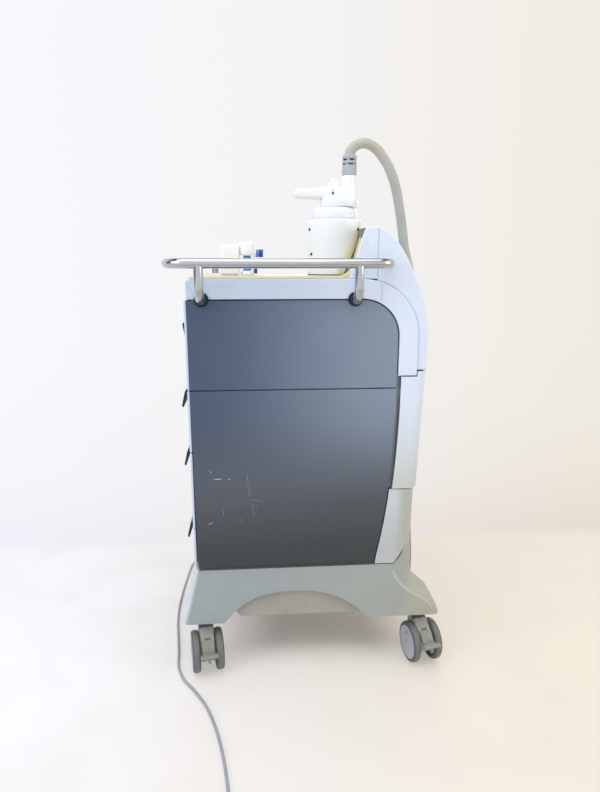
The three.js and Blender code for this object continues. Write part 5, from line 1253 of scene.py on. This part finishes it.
def floor_finish():
    finish, shader, place = new_finish("pale_floor", 0.55)
    axes = axes_of(place)
    seen, in_metal = seen_rays(finish.node_tree)
    tone = blend_colour(remap(axes["X"], -0.7, 0.5), FLOOR_COOL, FLOOR_WARM)
    stains = drift_of(place, 5, 6, (0.45, 0.75), 0, 0.25)
    tone = blend_colour(stains, tone, STAIN)
    feed(shader.inputs["Base Color"], tone)

    shade = product(in_metal, remap(axes["Y"], -0.3, -0.7, 0.3, 0.75))
    lit = blend_colour(shade, tone, MIRRORED_FLOOR)
    lift = new_node("ShaderNodeEmission", {"Color": lit})
    # A fixed patch under the cart holds the lift back: painted shadow.
    along = combine("ABSOLUTE", combine("SUBTRACT", axes["X"], 0.04))
    under = product(remap(along, 0.3, 0.12), remap(axes["Y"], -0.24, -0.12))
    lifted = product(seen, remap(under, 0, 1, OPEN_LIFT, SHADED_LIFT))
    floor = mixed(lifted, shader.outputs[0], lift.outputs[0])

    away = combine("SUBTRACT", axes["Y"], camera.location.y)
    sideways = bearing(combine("SUBTRACT", axes["X"], camera.location.x), away)
    low = combine("POWER", combine("DIVIDE", WALL_FOOT - camera.location.y,
                                         combine("MAXIMUM", away, 0.5)), 3)
    out = length_of(axes["X"], axes["Y"])
    low = combine("MINIMUM", low, remap(out, 2.2, 7, 1, 0))
    wall = blend_colour(low, wall_tone(sideways), foot_tone(sideways))
    glow = new_node("ShaderNodeEmission", {"Color": wall})
    past = remap(axes["Y"], WALL_FOOT - 0.03, WALL_FOOT + 0.05)
    far = product(combine("MAXIMUM", past, remap(out, 1.8, 4.5)), seen)
    feed(finish.node_tree.nodes["Material Output"].inputs["Surface"],
         mixed(far, floor, glow.outputs[0]))
    return finish


grid = bmesh.new()
bmesh.ops.create_grid(grid, x_segments=1, y_segments=1, size=12)
floor_mesh = bpy.data.meshes.new("floor")
grid.to_mesh(floor_mesh)
grid.free()
floor_mesh.materials.append(floor_finish())
linked("floor", floor_mesh)
print("floor laid")

# %% [markdown]
# Four large square lamps stand in for a showroom's ceiling and windows. The world adds an even
# fill, and shows the wall to the camera.

# %% Hang the lamps and light the world
def soft_lamp(name, place, target, size, power, colour):
    lamp = bpy.data.lights.new(name, "AREA")
    lamp.shape = "SQUARE"
    lamp.size = size
    lamp.energy = power
    lamp.color = colour
    holder = linked(name, lamp)
    holder.location = place
    holder.rotation_euler = (Vector(target) - Vector(place)).to_track_quat("-Z", "Y").to_euler()


soft_lamp("ceiling_lamp", (-0.3, -0.7, 3.0), (0, 0, 0.6), 2.4, 33, (1, 0.99, 0.97))
soft_lamp("left_lamp", (-2.4, -1.6, 1.9), (0, 0, 0.6), 1.8, 26, (0.93, 0.96, 1))
soft_lamp("right_lamp", (2.4, -1.2, 1.6), (0, 0, 0.6), 1.6, 15, (1, 0.97, 0.92))
soft_lamp("rear_lamp", (0.6, 2.4, 2.0), (0, 0, 0.7), 1.8, 12, (1, 0.98, 0.95))

COOL_FILL, WARM_FILL, FILL_STRENGTH = (0.84, 0.90, 1.0), (1.0, 0.95, 0.86), 0.66
CEILING, DARK_ROOM = from_srgb(120, 120, 112), from_srgb(84, 86, 92)
world = bpy.data.worlds.new("even_light")
world.use_nodes = True
bpy.context.scene.world = world
web = world.node_tree
heading = axes_of(web.nodes.new("ShaderNodeTexCoord").outputs["Generated"])
sky = web.nodes["Background"]
feed(sky.inputs["Color"], blend_colour(remap(heading["X"], -0.8, 0.8), COOL_FILL, WARM_FILL))
sky.inputs["Strength"].default_value = FILL_STRENGTH
sideways = bearing(heading["X"], heading["Y"])
wall = blend_colour(remap(heading["Z"], 0.62, 0.8), wall_tone(sideways), CEILING)
seen, in_metal = seen_rays(web)
behind = product(remap(heading["Y"], 0.35, 0.1), remap(sideways, -0.5, -0.8, 0, 0.9))
shown = blend_colour(product(behind, in_metal), wall, DARK_ROOM)
backdrop = new_node("ShaderNodeBackground", {"Color": shown})
feed(web.nodes["World Output"].inputs["Surface"], mixed(seen, sky.outputs[0], backdrop.outputs[0]))
bpy.context.scene.view_settings.view_transform = "Standard"
print("lamps hung: 4")
